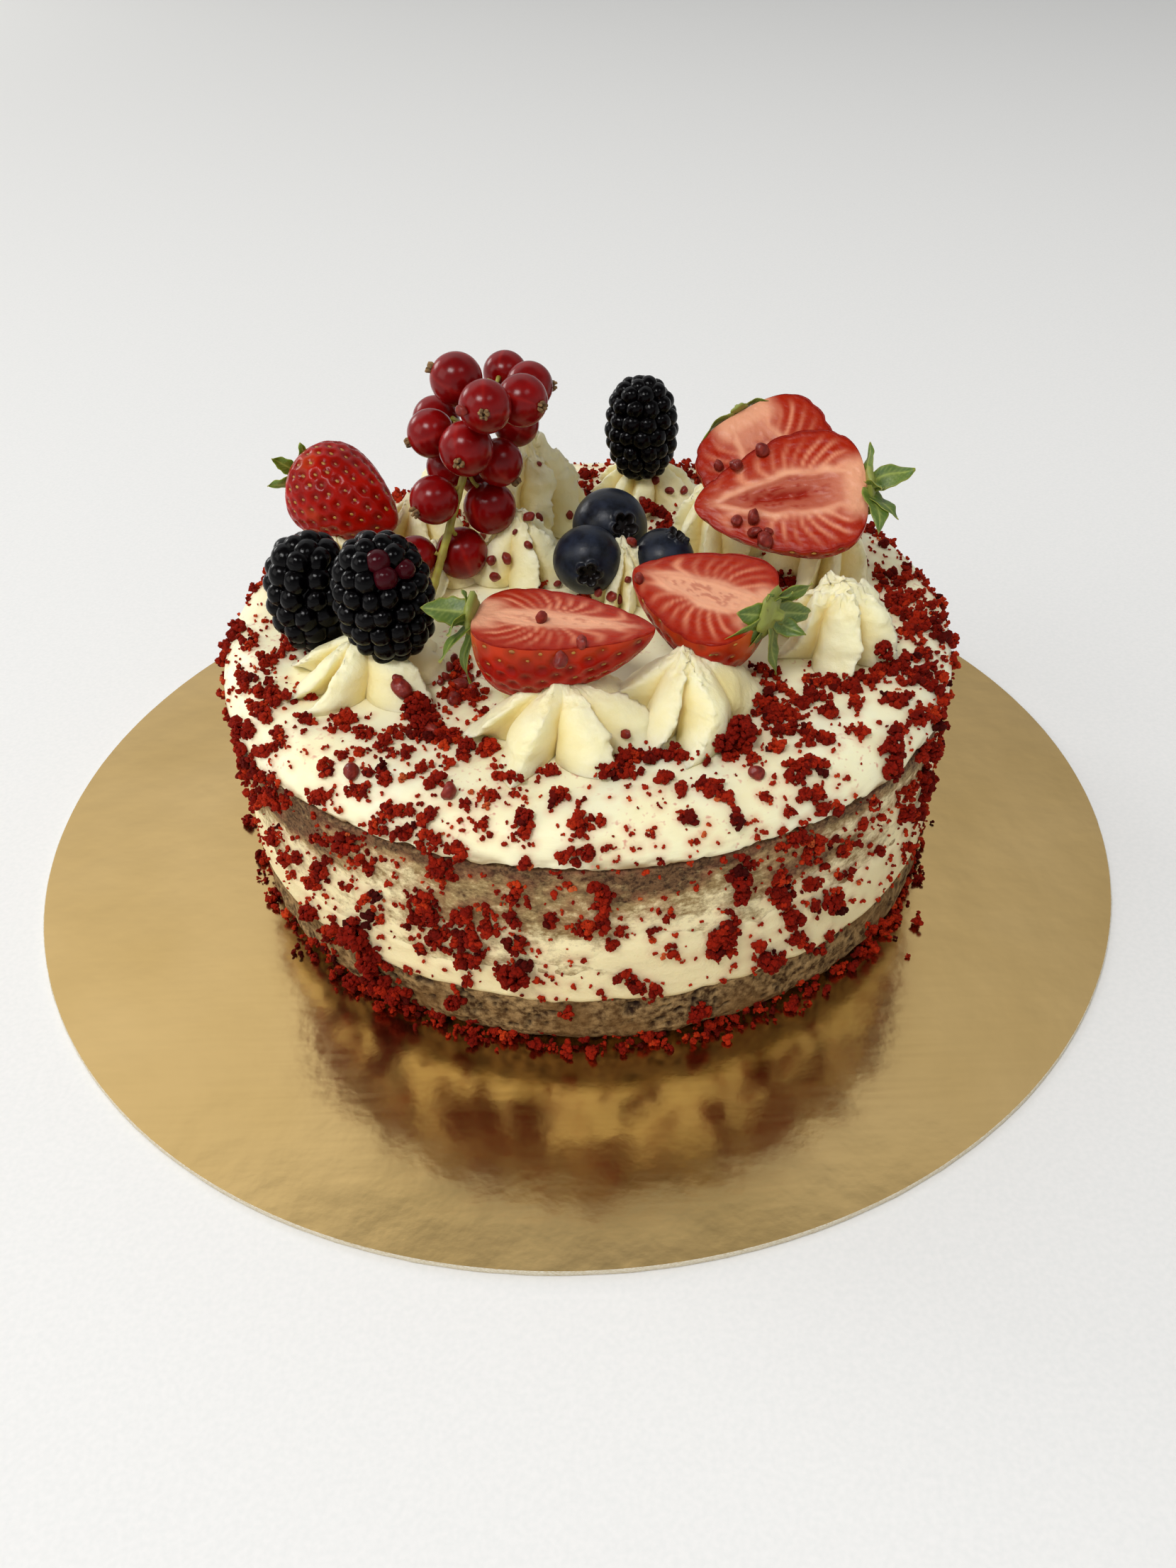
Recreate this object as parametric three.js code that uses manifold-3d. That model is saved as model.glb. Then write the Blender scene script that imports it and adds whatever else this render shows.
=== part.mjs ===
// Red velvet layer cake, thinly coated with cream, topped with piped cream kisses and fresh fruit,
// on its thin round gold board. Millimetres, +Z up, board underside at z = 0, front towards -Y.
import * as THREE from 'three';
import { mergeVertices } from 'three/addons/utils/BufferGeometryUtils.js';
import Module from 'manifold-3d';

const wasm = await Module();
wasm.setup();

// ---------------------------------------------------------------- driving dimensions
const GAP = 0.3; // between pieces that touch
const BOARD = { radius: 130, thickness: 1.5, segments: 72 };
const CAKE = { x: 4.5, y: 0, radius: 81.6, segments: 40 };
const WANDER = 0.5; // how far the hand-spread wall strays in and out
const BASE_TOP = 15;
const FILLING_TOP = 25;
const SPONGE_TOP = 51;
const CAKE_TOP = 60;
const SHOULDER = 8.5; // rounding of the cream's upper edge
const SEED = 20261124;

const SPONGE_RED = '#6e1d17';
const CREAM = '#f4ecd2';
const BERRY_RED = '#c4281c';

// Piped kisses: centre, foot radius, height, ridges, turn of the first ridge and twist (degrees).
const SWIRLS = [
  { name: 'swirl_front_left', x: -41, y: -29, radius: 17, height: 11, lobes: 7, turn: -166, twist: 14 },
  { name: 'swirl_front', x: -1, y: -50, radius: 18.5, height: 13, lobes: 7, turn: 176, twist: 10 },
  { name: 'swirl_front_right', x: 24, y: -45, radius: 16, height: 14, lobes: 5, turn: -72, twist: 12 },
  { name: 'swirl_right', x: 57, y: -24, radius: 12.5, height: 17, lobes: 6, turn: -110, twist: 16 },
  { name: 'swirl_back_right', x: 59, y: 9, radius: 12.5, height: 19, lobes: 7, turn: 20, twist: 12 },
  { name: 'swirl_under_halves', x: 36, y: 21, radius: 12.5, height: 19, lobes: 7, turn: 40, twist: 12 },
  { name: 'swirl_back', x: 20, y: 51, radius: 14, height: 12, lobes: 7, turn: 10, twist: 12 },
  { name: 'swirl_tall', x: -9, y: 39, radius: 15, height: 23, lobes: 8, turn: 0, twist: 30 },
  { name: 'swirl_back_left', x: -29, y: 51, radius: 12, height: 13, lobes: 7, turn: 25, twist: 12 },
  { name: 'swirl_left', x: -35, y: 29, radius: 11, height: 14, lobes: 7, turn: 50, twist: 12 },
  { name: 'swirl_far_left', x: -54, y: 16, radius: 12, height: 11, lobes: 7, turn: 15, twist: 12 },
  { name: 'swirl_middle', x: -10.5, y: 13, radius: 12, height: 16, lobes: 6, turn: -95, twist: 10 },
  { name: 'swirl_stem', x: -30, y: 12, radius: 9.5, height: 9, lobes: 6, turn: 30, twist: 10 },
  { name: 'swirl_inner', x: 13, y: 1, radius: 10, height: 14, lobes: 7, turn: -80, twist: 20 },
];
// Half-outline of a kiss: share of the foot radius against share of the height.
const SWIRL_OUTLINE = [[0, 0], [0.97, 0], [0.95, 0.22], [0.72, 0.55], [0.36, 0.84], [0, 1]];
const SWIRL_GROOVE = 0.42; // groove depth as a share of the radius

// Bramble berries: centre, width and height, and the lean of the top (degrees, towards +X).
const BRAMBLES = [
  { name: 'bramble_front', x: -36, y: -29, z: 79, width: 20.6, height: 27, lean: -4 },
  { name: 'bramble_left', x: -53.5, y: -16, z: 73.6, width: 18.4, height: 25.5, lean: 3 },
  { name: 'bramble_back', x: 19.5, y: 46.5, z: 81, width: 17.6, height: 26, lean: 0 },
];
const DRUPELETS_ROUND = 9;
const DRUPELET_ROWS = 6;
const DRUPELET_RELIEF = 1.6;

// Blueberries: centre, radius and the way the crown faces.
const BLUEBERRIES = [
  { name: 'blueberry_front', at: [5, -0.4, 70.5], radius: 7.8, crown: [0.02, -0.99, 0.06] },
  { name: 'blueberry_back', at: [10.5, 16.8, 69.7], radius: 8.9, crown: [0.37, -0.82, 0.42] },
  { name: 'blueberry_right', at: [22, 2.2, 68.6], radius: 6.6, crown: [0.43, -0.05, 0.82] },
];

// Strawberries from the calyx end to the tip. A half also has the way its cut face looks.
const STRAWBERRIES = [
  { name: 'strawberry_whole', stem: [-61, 28, 80], tip: [-38.5, 13.5, 73.5], width: 22 },
  { name: 'strawberry_half_front', stem: [-17, -40.5, 81.5], tip: [17, -47, 80.5], width: 25, depth: 16,
    face: [0, 0.05, 1] },
  { name: 'strawberry_half_right', stem: [39, -38, 78.3], tip: [14.2, -23.5, 80.5], width: 28, depth: 15.5,
    face: [-0.05, -0.2, 1] },
  { name: 'strawberry_half_top', stem: [65, -1, 86.5], tip: [28.5, 1.5, 81.5], width: 29, depth: 11.5,
    face: [0, -0.64, 0.77] },
  { name: 'strawberry_half_back', stem: [40.2, 21.9, 94.3], tip: [55.8, -4.7, 75], width: 31, depth: 10,
    face: [-0.147, -0.636, 0.757] },
];

// Calyx leaves of each strawberry: direction round the stem end (degrees, 0 = the face side or up),
// length, width and how far the leaf opens away from the berry (degrees).
const CALYXES = {
  strawberry_whole: [[0, 10, 4, 30], [50, 7, 3, 50], [100, 9, 3.6, 65], [180, 8, 3, 35], [270, 7, 3, 20]],
  strawberry_half_front: [[20, 5, 3, 40], [95, 8, 3.4, 25], [150, 9, 3.2, 5], [200, 10, 3, 0],
    [300, 8.5, 5.2, 75]],
  strawberry_half_right: [[40, 7, 4, 25], [90, 9, 4.5, 30], [135, 9, 4, 35], [180, 9, 3.6, 35],
    [225, 10, 4, 12], [270, 11, 5, 0]],
  strawberry_half_top: [[30, 8.5, 6, 80], [90, 8, 2.4, 40], [190, 6, 3, 10], [235, 8, 3.8, 10],
    [280, 9, 4, 20]],
  strawberry_half_back: [[45, 6, 3, 10], [100, 7, 3, 5], [180, 6, 3, 10], [270, 7, 3, 5]],
};
const LEAF_THICKNESS = 0.5;
const CALYX_HUB = 1.7;
const CALYX_CLEARANCE = 0.4; // from the berry's stem end to the sheet
// Half-outline of a leaf: share of the width against share of the length.
const LEAF_OUTLINE = [[0.32, 0], [1, 0.45], [0.72, 0.78]];

// The currant sprig: its stem leans back. Each berry is [along the stem, turn round it, out from it,
// radius, how far above it its own stalk leaves the stem].
const SPRIG = { foot: [-30, 1, 64], top: [-15.5, 18.5, 103], stemRadius: 0.95, buried: 4.1 };
const CURRANTS = [
  [45, -79, 7, 5.76, -1], [50, 176, 12.4, 4.99, -5], [48.5, 121, 9.2, 5.25, -3], [44.7, 57, 10.3, 5.53, 0],
  [41, 11, 14.7, 5.55, 4], [35.6, -128, 13.7, 5.38, 3], [32.5, -79, 9.2, 5.28, 7], [31.7, 2, 8.2, 5.91, 5],
  [40.1, 150, 12.9, 5.25, 0], [30.9, 100, 6.7, 5.26, 4], [26.5, -139, 7.5, 4.89, 3],
  [19.2, -38, 6.6, 5.35, 5], [20.7, 133, 8.9, 5.99, 7], [26.8, 175, 13.5, 4.86, 4], [9, 155, 7.2, 5.99, 6],
  [5.5, -103, 6.1, 4.9, 3],
];

// Crumbs fused to each layer, and the lumps that stand out on the wall: [angle, height, size].
const LUMP_SIZE = 4.5;
const FOOT_CRUMBS = 22;
const FILLING_CRUMBS = 9;
const SPONGE_CRUMBS = 24;
const RIM_CRUMBS = 8;
const TOP_CRUMBS = 32;
const BASE_LUMPS = [[-123, 9.5, 7.5], [-77, 10, 4]];
const SPONGE_LUMPS = [[-125, 29.4, 7.4], [-101, 29.6, 7.4], [-72, 44, 6], [-66, 29, 6], [-30, 36, 6.5],
  [-147, 36, 5], [-64, 36, 4.6], [-39, 31, 5]];
const TOP_LUMPS = [[31, -56, 7.5], [41, -50, 6.5], [37, -61, 5], [-14, -62, 4.5], [60, -42, 5],
  [70, -8, 5], [-52, -45, 5], [72, 14, 4.5]];

// ---------------------------------------------------------------- helpers
function seededRandom(seed) {
  let state = seed;
  return (low = 0, high = 1) => {
    state = (state + 0x6d2b79f5) | 0;
    let mixed = Math.imul(state ^ (state >>> 15), 1 | state);
    mixed = (mixed + Math.imul(mixed ^ (mixed >>> 7), 61 | mixed)) ^ mixed;
    return low + (high - low) * (((mixed ^ (mixed >>> 14)) >>> 0) / 4294967296);
  };
}
const random = seededRandom(SEED);
const radians = THREE.MathUtils.degToRad;
const vector = (list) => new THREE.Vector3(...list);

// A turned shape about Z from [radius, z] points listed upwards, on the axis at both ends.
function turned(outline, segments) {
  const points = outline.map(([radius, z]) => new THREE.Vector2(radius, z));
  return new THREE.LatheGeometry(points, segments).rotateX(Math.PI / 2);
}

function moveVertices(geometry, move) {
  const position = geometry.getAttribute('position');
  const point = new THREE.Vector3();
  for (let i = 0; i < position.count; i += 1) {
    point.fromBufferAttribute(position, i);
    move(point);
    position.setXYZ(i, point.x, point.y, point.z);
  }
  return geometry;
}

function signedVolume(vertices, triangles) {
  const corner = (i) => new THREE.Vector3().fromArray(vertices, 3 * triangles[i]);
  let sum = 0;
  for (let i = 0; i < triangles.length; i += 3) {
    sum += corner(i).dot(corner(i + 1).cross(corner(i + 2)));
  }
  return sum / 6;
}

// Closed mesh to solid: shared vertices merged, collapsed triangles dropped, faces turned outwards.
function toSolid(geometry) {
  const bare = new THREE.BufferGeometry();
  bare.setAttribute('position', geometry.getAttribute('position').clone());
  if (geometry.index) bare.setIndex(geometry.index.clone());
  const merged = mergeVertices(bare, 1e-4);
  const vertProperties = Float32Array.from(merged.getAttribute('position').array);
  const triangles = [];
  for (let i = 0; i < merged.index.count; i += 3) {
    const [a, b, c] = [0, 1, 2].map((k) => merged.index.getX(i + k));
    if (a !== b && b !== c && c !== a) triangles.push(a, b, c);
  }
  if (signedVolume(vertProperties, triangles) < 0) triangles.reverse();
  const triVerts = Uint32Array.from(triangles);
  return new wasm.Manifold(new wasm.Mesh({ numProp: 3, vertProperties, triVerts }));
}

function toGeometry(solid) {
  const mesh = solid.getMesh();
  const geometry = new THREE.BufferGeometry();
  geometry.setAttribute('position', new THREE.BufferAttribute(Float32Array.from(mesh.vertProperties), 3));
  geometry.setIndex(new THREE.BufferAttribute(Uint32Array.from(mesh.triVerts), 1));
  geometry.computeVertexNormals();
  return geometry;
}

// The same shape, larger by the gap on every side, to cut its neighbours with.
function swollen(geometry) {
  const grown = geometry.clone();
  grown.computeBoundingBox();
  const centre = grown.boundingBox.getCenter(new THREE.Vector3());
  const size = grown.boundingBox.getSize(new THREE.Vector3());
  const growth = size.clone().addScalar(2 * GAP + 0.2).divide(size);
  return moveVertices(grown, (p) => p.sub(centre).multiply(growth).add(centre));
}

function largestBody(solid) {
  const bodies = solid.decompose();
  return bodies.reduce((best, body) => (body.volume() > best.volume() ? body : best));
}

// Local X along `along`, local Z as near `up` as it can be, origin at `at`.
function frameAt(at, along, up) {
  const x = along.clone().normalize();
  const y = up.clone().cross(x).normalize();
  const z = x.clone().cross(y);
  return new THREE.Matrix4().makeBasis(x, y, z).setPosition(at);
}

// ---------------------------------------------------------------- assembly
const cake = new THREE.Group();
const placed = [];

function addMesh(name, solid, color, roughness, metalness = 0) {
  const material = new THREE.MeshStandardMaterial({ color, roughness, metalness });
  const mesh = new THREE.Mesh(toGeometry(solid), material);
  mesh.name = name;
  cake.add(mesh);
}

// Adds a topping, cut clear of every topping already there. Later ones are cut by `outer`, a plainer
// shape round it, or else by the topping itself made larger by the gap.
function addTopping(name, geometry, color, roughness, outer = swollen(geometry)) {
  geometry.computeBoundingBox();
  let solid = toSolid(geometry);
  for (const neighbour of placed) {
    if (neighbour.box.intersectsBox(geometry.boundingBox)) {
      solid = solid.subtract(neighbour.cutter);
    }
  }
  outer.computeBoundingBox();
  placed.push({ box: outer.boundingBox, cutter: toSolid(outer) });
  addMesh(name, largestBody(solid), color, roughness);
}

// ---------------------------------------------------------------- board and layers
function addBoard() {
  const { radius, thickness, segments } = BOARD;
  const outline = [[0, 0], [radius, 0], [radius, thickness], [0, thickness]];
  addMesh('cake_board', toSolid(turned(outline, segments)), '#b9924e', 0.3, 1);
}

// How far the wall strays from a true circle at an angle (radians).
function wander(angle) {
  return WANDER * (Math.sin(2 * angle + 1.1) + 0.6 * Math.sin(3 * angle + 4) + 0.4 * Math.sin(7 * angle));
}

// A layer of the cake from [inset from the wall, z] points listed upwards.
function layer(insets) {
  const lowest = insets[0][1];
  const highest = insets[insets.length - 1][1];
  const wall = insets.map(([inset, z]) => [CAKE.radius - inset, z]);
  const geometry = turned([[0, lowest], ...wall, [0, highest]], CAKE.segments);
  moveVertices(geometry, (p) => {
    const reach = Math.hypot(p.x, p.y);
    const stray = reach > 1 ? 1 + (wander(Math.atan2(p.y, p.x)) * (reach / CAKE.radius)) / reach : 1;
    p.set(CAKE.x + p.x * stray, CAKE.y + p.y * stray, p.z);
  });
  return toSolid(geometry);
}

// An irregular crumb, with twenty sides if it is a lump and eight if it is small.
function crumb(centre, size) {
  const geometry = size < LUMP_SIZE
    ? new THREE.OctahedronGeometry(0.56 * size, 0) : new THREE.IcosahedronGeometry(size / 2, 0);
  const stretch = [random(0.8, 1.2), random(0.8, 1.2), random(0.75, 1)];
  const seed = random(0, 9);
  moveVertices(geometry, (p) => {
    const bump = 1 + 0.16 * Math.sin(5 * p.x + 3 * p.y + 7 * p.z + seed);
    p.set(p.x * stretch[0] * bump, p.y * stretch[1] * bump, p.z * stretch[2] * bump).add(centre);
  });
  return toSolid(geometry);
}

function wallPoint(angle, z, outwards) {
  const reach = CAKE.radius + wander(angle) + outwards;
  return new THREE.Vector3(CAKE.x + reach * Math.cos(angle), CAKE.y + reach * Math.sin(angle), z);
}

// Crumbs pressed on the wall between two heights, clear of both seams.
function wallCrumbs(count, low, high, sizes, inset) {
  const crumbs = [];
  for (let i = 0; i < count; i += 1) {
    const angle = ((i + random(0.1, 0.9)) * 2 * Math.PI) / count;
    const size = random(...sizes);
    const z = random(low + 0.65 * size, high - 0.65 * size);
    crumbs.push(crumb(wallPoint(angle, z, 0.15 * size - inset), size));
  }
  return crumbs;
}

function wallLumps(lumps, inset) {
  return lumps.map(([angle, z, size]) => crumb(wallPoint(radians(angle), z, 0.1 * size - inset), size));
}

function fuse(solid, crumbs) {
  return crumbs.reduce((whole, piece) => whole.add(piece), solid);
}

function addSpongeBase() {
  const bottom = BOARD.thickness + GAP;
  const body = layer([[4, bottom], [1.6, bottom + 1.2], [0.9, bottom + 3.5], [0.9, BASE_TOP]]);
  const foot = [];
  for (let i = 0; i < FOOT_CRUMBS; i += 1) {
    const angle = ((i + random(0.1, 0.9)) * 2 * Math.PI) / FOOT_CRUMBS;
    const size = random(2.2, 4.2);
    foot.push(crumb(wallPoint(angle, bottom + 0.62 * size, 0.1 * size - 2.2), size));
  }
  const lumps = wallLumps(BASE_LUMPS, 0.9);
  const trimmed = fuse(body, [...foot, ...lumps]).subtract(boardSpace());
  addMesh('sponge_base', largestBody(trimmed), SPONGE_RED, 0.95);
}

// The board and the air just above it, so that no crumb of the foot reaches into the board.
function boardSpace() {
  const side = 2 * BOARD.radius;
  const height = BOARD.thickness + GAP;
  return toSolid(new THREE.BoxGeometry(side, side, height).translate(0, 0, height / 2));
}

function addFilling() {
  const bottom = BASE_TOP + GAP;
  const body = layer([[0.7, bottom], [0, (bottom + FILLING_TOP) / 2], [0.5, FILLING_TOP]]);
  const crumbs = wallCrumbs(FILLING_CRUMBS, bottom, FILLING_TOP, [2.4, 4.2], 0.3);
  addMesh('cream_filling', fuse(body, crumbs), CREAM, 0.5);
}

function addSpongeUpper() {
  const bottom = FILLING_TOP + GAP;
  const body = layer([[0.6, bottom], [0.9, bottom + 10], [0.8, SPONGE_TOP]]);
  const crumbs = wallCrumbs(SPONGE_CRUMBS, bottom, SPONGE_TOP, [2.2, 4.6], 0.8);
  const lumps = wallLumps(SPONGE_LUMPS, 0.8);
  addMesh('sponge_upper', fuse(body, [...crumbs, ...lumps]), '#b09a80', 0.8);
}

const topCrumb = (x, y, size) => crumb(new THREE.Vector3(x, y, CAKE_TOP + 0.2 * size), size);

// True where a crumb touches no topping.
function clearOfToppings(solid) {
  return placed.every(({ cutter }) => cutter.intersect(solid).volume() < 1e-6);
}

function topCrumbs() {
  const crumbs = TOP_LUMPS.map(([x, y, size]) => topCrumb(x, y, size)).filter(clearOfToppings);
  const total = crumbs.length + TOP_CRUMBS;
  const flatRadius = CAKE.radius - SHOULDER;
  while (crumbs.length < total) {
    const reach = flatRadius * Math.sqrt(random(0.2, 1));
    const angle = random(-Math.PI, Math.PI);
    const x = CAKE.x + reach * Math.cos(angle);
    const y = CAKE.y + reach * Math.sin(angle);
    const candidate = topCrumb(x, y, random(2.2, 4.2));
    if (clearOfToppings(candidate)) crumbs.push(candidate);
  }
  return crumbs;
}

function addCreamTop() {
  const bottom = SPONGE_TOP + GAP;
  const insets = [[1.2, bottom], [0.2, bottom + 0.8]];
  for (const bend of [0, 22, 45, 68, 90]) {
    const inset = SHOULDER * (1 - Math.cos(radians(bend)));
    insets.push([inset, CAKE_TOP - (SHOULDER - 1.2) * (1 - Math.sin(radians(bend)))]);
  }
  const rim = wallCrumbs(RIM_CRUMBS, bottom, CAKE_TOP - 3, [2.2, 3.6], 0.6);
  const whole = fuse(layer(insets), [...rim, ...topCrumbs()]);
  addMesh('cream_top', whole, CREAM, 0.5);
}

// ---------------------------------------------------------------- piped cream
function swirlGeometry({ x, y, radius, height, lobes, turn, twist }) {
  const outline = SWIRL_OUTLINE.map(([across, up]) => [across * radius, up * height]);
  const geometry = turned(outline, 4 * lobes);
  return moveVertices(geometry, (p) => {
    const up = p.z / height;
    const ridge = (Math.atan2(p.y, p.x) * lobes) / (2 * Math.PI);
    const fromCrest = 2 * Math.abs(ridge - Math.round(ridge));
    const reach = 1 - SWIRL_GROOVE * (1 - 0.4 * up) * fromCrest ** 1.3;
    p.multiply(new THREE.Vector3(reach, reach, 1));
    p.applyAxisAngle(new THREE.Vector3(0, 0, 1), radians(turn + twist * up));
    p.add(new THREE.Vector3(x, y, CAKE_TOP + GAP));
  });
}

function addSwirls() {
  for (const swirl of SWIRLS) {
    addTopping(swirl.name, swirlGeometry(swirl), CREAM, 0.5);
  }
}

// ---------------------------------------------------------------- fruit
// The blunt oval of a bramble, with its lean.
function bluntOval({ x, y, z, width, height, lean }, rows, segments, spare, relief = () => {}) {
  const outline = [];
  for (let row = 0; row <= rows; row += 1) {
    const polar = (row / rows) * Math.PI;
    const across = Math.sin(polar) ** 0.72 * (width / 2 + spare);
    outline.push([row % rows === 0 ? 0 : across, -Math.cos(polar) * (height / 2 + spare)]);
  }
  const geometry = moveVertices(turned(outline, segments), relief);
  return geometry.rotateY(radians(lean)).translate(x, y, z);
}

// Drupelets in staggered rows: every other corner of the oval is drawn in.
function brambleGeometry(bramble) {
  const rows = 2 * DRUPELET_ROWS;
  const segments = 2 * DRUPELETS_ROUND;
  return bluntOval(bramble, rows, segments, 0, (p) => {
    const polar = Math.acos(THREE.MathUtils.clamp((-2 * p.z) / bramble.height, -1, 1));
    const row = Math.round((polar / Math.PI) * rows);
    const column = Math.round((Math.atan2(p.y, p.x) / (2 * Math.PI) + 1) * segments);
    const between = (row + column) % 2 === 1 && row > 0 && row < rows;
    if (between) p.setLength(p.length() - DRUPELET_RELIEF);
  });
}

function addBrambles() {
  for (const bramble of BRAMBLES) {
    addTopping(bramble.name, brambleGeometry(bramble), '#14131a', 0.3, bluntOval(bramble, 8, 12, 0.8));
  }
}

// A ball with the star-shaped hollow that its crown leaves.
function addBlueberry({ name, at, radius, crown }) {
  const ball = new THREE.SphereGeometry(radius, 11, 8);
  const star = new THREE.Shape();
  for (let i = 0; i < 10; i += 1) {
    const reach = radius * (i % 2 === 0 ? 0.42 : 0.26);
    const angle = (i * Math.PI) / 5;
    star[i === 0 ? 'moveTo' : 'lineTo'](reach * Math.cos(angle), reach * Math.sin(angle));
  }
  const hollow = new THREE.ExtrudeGeometry(star, { depth: radius, bevelEnabled: false });
  hollow.translate(0, 0, 0.78 * radius);
  const facing = new THREE.Quaternion().setFromUnitVectors(
    new THREE.Vector3(0, 0, 1), vector(crown).normalize());
  for (const geometry of [ball, hollow]) {
    geometry.applyQuaternion(facing);
    geometry.translate(...at);
  }
  const outer = new THREE.SphereGeometry(radius + 0.6, 10, 7).translate(...at);
  addTopping(name, toGeometry(toSolid(ball).subtract(toSolid(hollow))), '#27304a', 0.5, outer);
}

// Half-width of a strawberry at a share t of the way from the calyx to the tip.
const strawberryGirth = (t) => Math.sin(Math.PI * t ** 0.56) ** 0.6;

// Local X from the calyx to the tip, the cut face of a half in the plane z = 0.
function strawberryGeometry(length, width, depth) {
  const outline = [];
  const steps = 9;
  for (let i = 0; i <= steps; i += 1) {
    const t = (1 - Math.cos((Math.PI * i) / steps)) / 2;
    outline.push([i % steps === 0 ? 0 : (strawberryGirth(t) * width) / 2, t * length]);
  }
  const whole = turned(outline, 16).rotateZ(Math.PI / 2).rotateY(Math.PI / 2);
  if (!depth) return whole;
  whole.scale(1, 1, (2 * depth) / width);
  const above = new THREE.BoxGeometry(2 * length, 2 * width, width).translate(0, 0, width / 2);
  return toGeometry(toSolid(whole).subtract(toSolid(above)));
}

function strawberryFrame({ stem, tip, face = [0, 0, 1] }) {
  return frameAt(vector(stem), vector(tip).sub(vector(stem)), vector(face));
}

function addStrawberries() {
  for (const berry of STRAWBERRIES) {
    const length = vector(berry.tip).distanceTo(vector(berry.stem));
    const geometry = strawberryGeometry(length, berry.width, berry.depth);
    geometry.applyMatrix4(strawberryFrame(berry));
    addTopping(berry.name, geometry, BERRY_RED, 0.35);
  }
}

// One thin sheet in the plane z = 0, cut to the outline of all the leaves round their hub.
function leavesOutline(leaves) {
  const outline = [];
  for (const [direction, length, width] of leaves) {
    const turn = radians(direction);
    const point = (side, share) => new THREE.Vector2(CALYX_HUB + share * length, (side * width) / 2)
      .rotateAround(new THREE.Vector2(), turn);
    const right = LEAF_OUTLINE.map(([across, share]) => point(-across, share));
    const left = LEAF_OUTLINE.map(([across, share]) => point(across, share)).reverse();
    outline.push(...right, point(0, 1), ...left);
  }
  return new THREE.Shape(outline);
}

// The sheet's leaves opened and waved, both faces alike. Local Z points out of the berry.
function calyxGeometry(leaves) {
  const geometry = new THREE.ExtrudeGeometry(leavesOutline(leaves),
    { depth: LEAF_THICKNESS, bevelEnabled: false });
  return moveVertices(geometry, (p) => {
    const angle = Math.atan2(p.y, p.x);
    const offDirection = ([direction]) => Math.abs(Math.atan2(
      Math.sin(angle - radians(direction)), Math.cos(angle - radians(direction))));
    const [direction, length, , opening] = leaves.reduce(
      (best, leaf) => (offDirection(leaf) < offDirection(best) ? leaf : best));
    const turn = radians(direction);
    const across = p.y * Math.cos(turn) - p.x * Math.sin(turn);
    const along = p.x * Math.cos(turn) + p.y * Math.sin(turn) - CALYX_HUB;
    const wave = 0.04 * length * Math.sin((7 * along) / length) + 0.15 * Math.abs(across);
    const lift = radians(opening);
    const reach = CALYX_HUB + along * Math.cos(lift) - (p.z + wave) * Math.sin(lift);
    p.set(reach * Math.cos(turn) - across * Math.sin(turn), reach * Math.sin(turn) + across * Math.cos(turn),
      along * Math.sin(lift) + (p.z + wave) * Math.cos(lift));
  });
}

function addCalyxes() {
  for (const berry of STRAWBERRIES) {
    // Local Z to the berry's -X, and the direction 0 to its +Z.
    const geometry = calyxGeometry(CALYXES[berry.name]).translate(0, 0, CALYX_CLEARANCE);
    geometry.rotateY(-Math.PI / 2).applyMatrix4(strawberryFrame(berry));
    addTopping(berry.name.replace('strawberry', 'calyx'), geometry, '#6f9a3c', 0.6);
  }
}

// ---------------------------------------------------------------- currant sprig
const sprigAxis = vector(SPRIG.top).sub(vector(SPRIG.foot)).normalize();
// Across the sprig: `front` looks to the viewer in front of and above the cake, `side` to the right.
const sprigFront = new THREE.Vector3(0, -0.783, 0.622).projectOnPlane(sprigAxis).normalize();
const sprigSide = sprigAxis.clone().cross(sprigFront);

function onSprig(along, turn, out) {
  return vector(SPRIG.foot).addScaledVector(sprigAxis, along)
    .addScaledVector(sprigFront, out * Math.cos(radians(turn)))
    .addScaledVector(sprigSide, out * Math.sin(radians(turn)));
}

// A round berry with the dry end of its flower on top.
function currantOutline(radius) {
  return [-90, -45, -10, 25, 55, 82].map((rise) => {
    const across = rise === -90 ? 0 : Math.cos(radians(rise));
    return [radius * across, radius * Math.sin(radians(rise))];
  }).concat([[0.6, radius + 1.4], [0, radius + 1.4]]);
}

// A tube of few sides from one point to another, closed at both ends.
function rod(from, to, radius, sides) {
  const length = from.distanceTo(to);
  const geometry = new THREE.CylinderGeometry(radius, radius, length, sides).translate(0, length / 2, 0);
  const facing = new THREE.Quaternion().setFromUnitVectors(
    new THREE.Vector3(0, 1, 0), to.clone().sub(from).normalize());
  return geometry.applyQuaternion(facing).translate(from.x, from.y, from.z);
}

function addCurrants() {
  CURRANTS.forEach(([along, turn, out, radius, forkRise], index) => {
    const centre = onSprig(along, turn, out);
    const outwards = centre.clone().sub(onSprig(along + forkRise, 0, 0)).normalize();
    const facing = new THREE.Quaternion().setFromUnitVectors(new THREE.Vector3(0, 0, 1), outwards);
    const berry = turned(currantOutline(radius), 7).applyQuaternion(facing);
    berry.translate(centre.x, centre.y, centre.z);
    addTopping(`currant_${String(index + 1).padStart(2, '0')}`, berry, '#9c1220', 0.25);
  });
}

// The stalk with a short stalk up to each berry.
function addCurrantStem() {
  const foot = onSprig(-SPRIG.buried, 0, 0);
  let solid = toSolid(rod(foot, onSprig(47, 0, 0), SPRIG.stemRadius, 6));
  for (const [along, turn, out, radius, forkRise] of CURRANTS) {
    const fork = onSprig(along + forkRise, 0, 0);
    const centre = onSprig(along, turn, out);
    const end = centre.clone().add(fork.clone().sub(centre).setLength(radius + GAP));
    solid = solid.add(toSolid(rod(fork, end, 0.45, 4)));
  }
  addTopping('currant_stem', toGeometry(solid), '#a7a552', 0.6);
}

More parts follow.
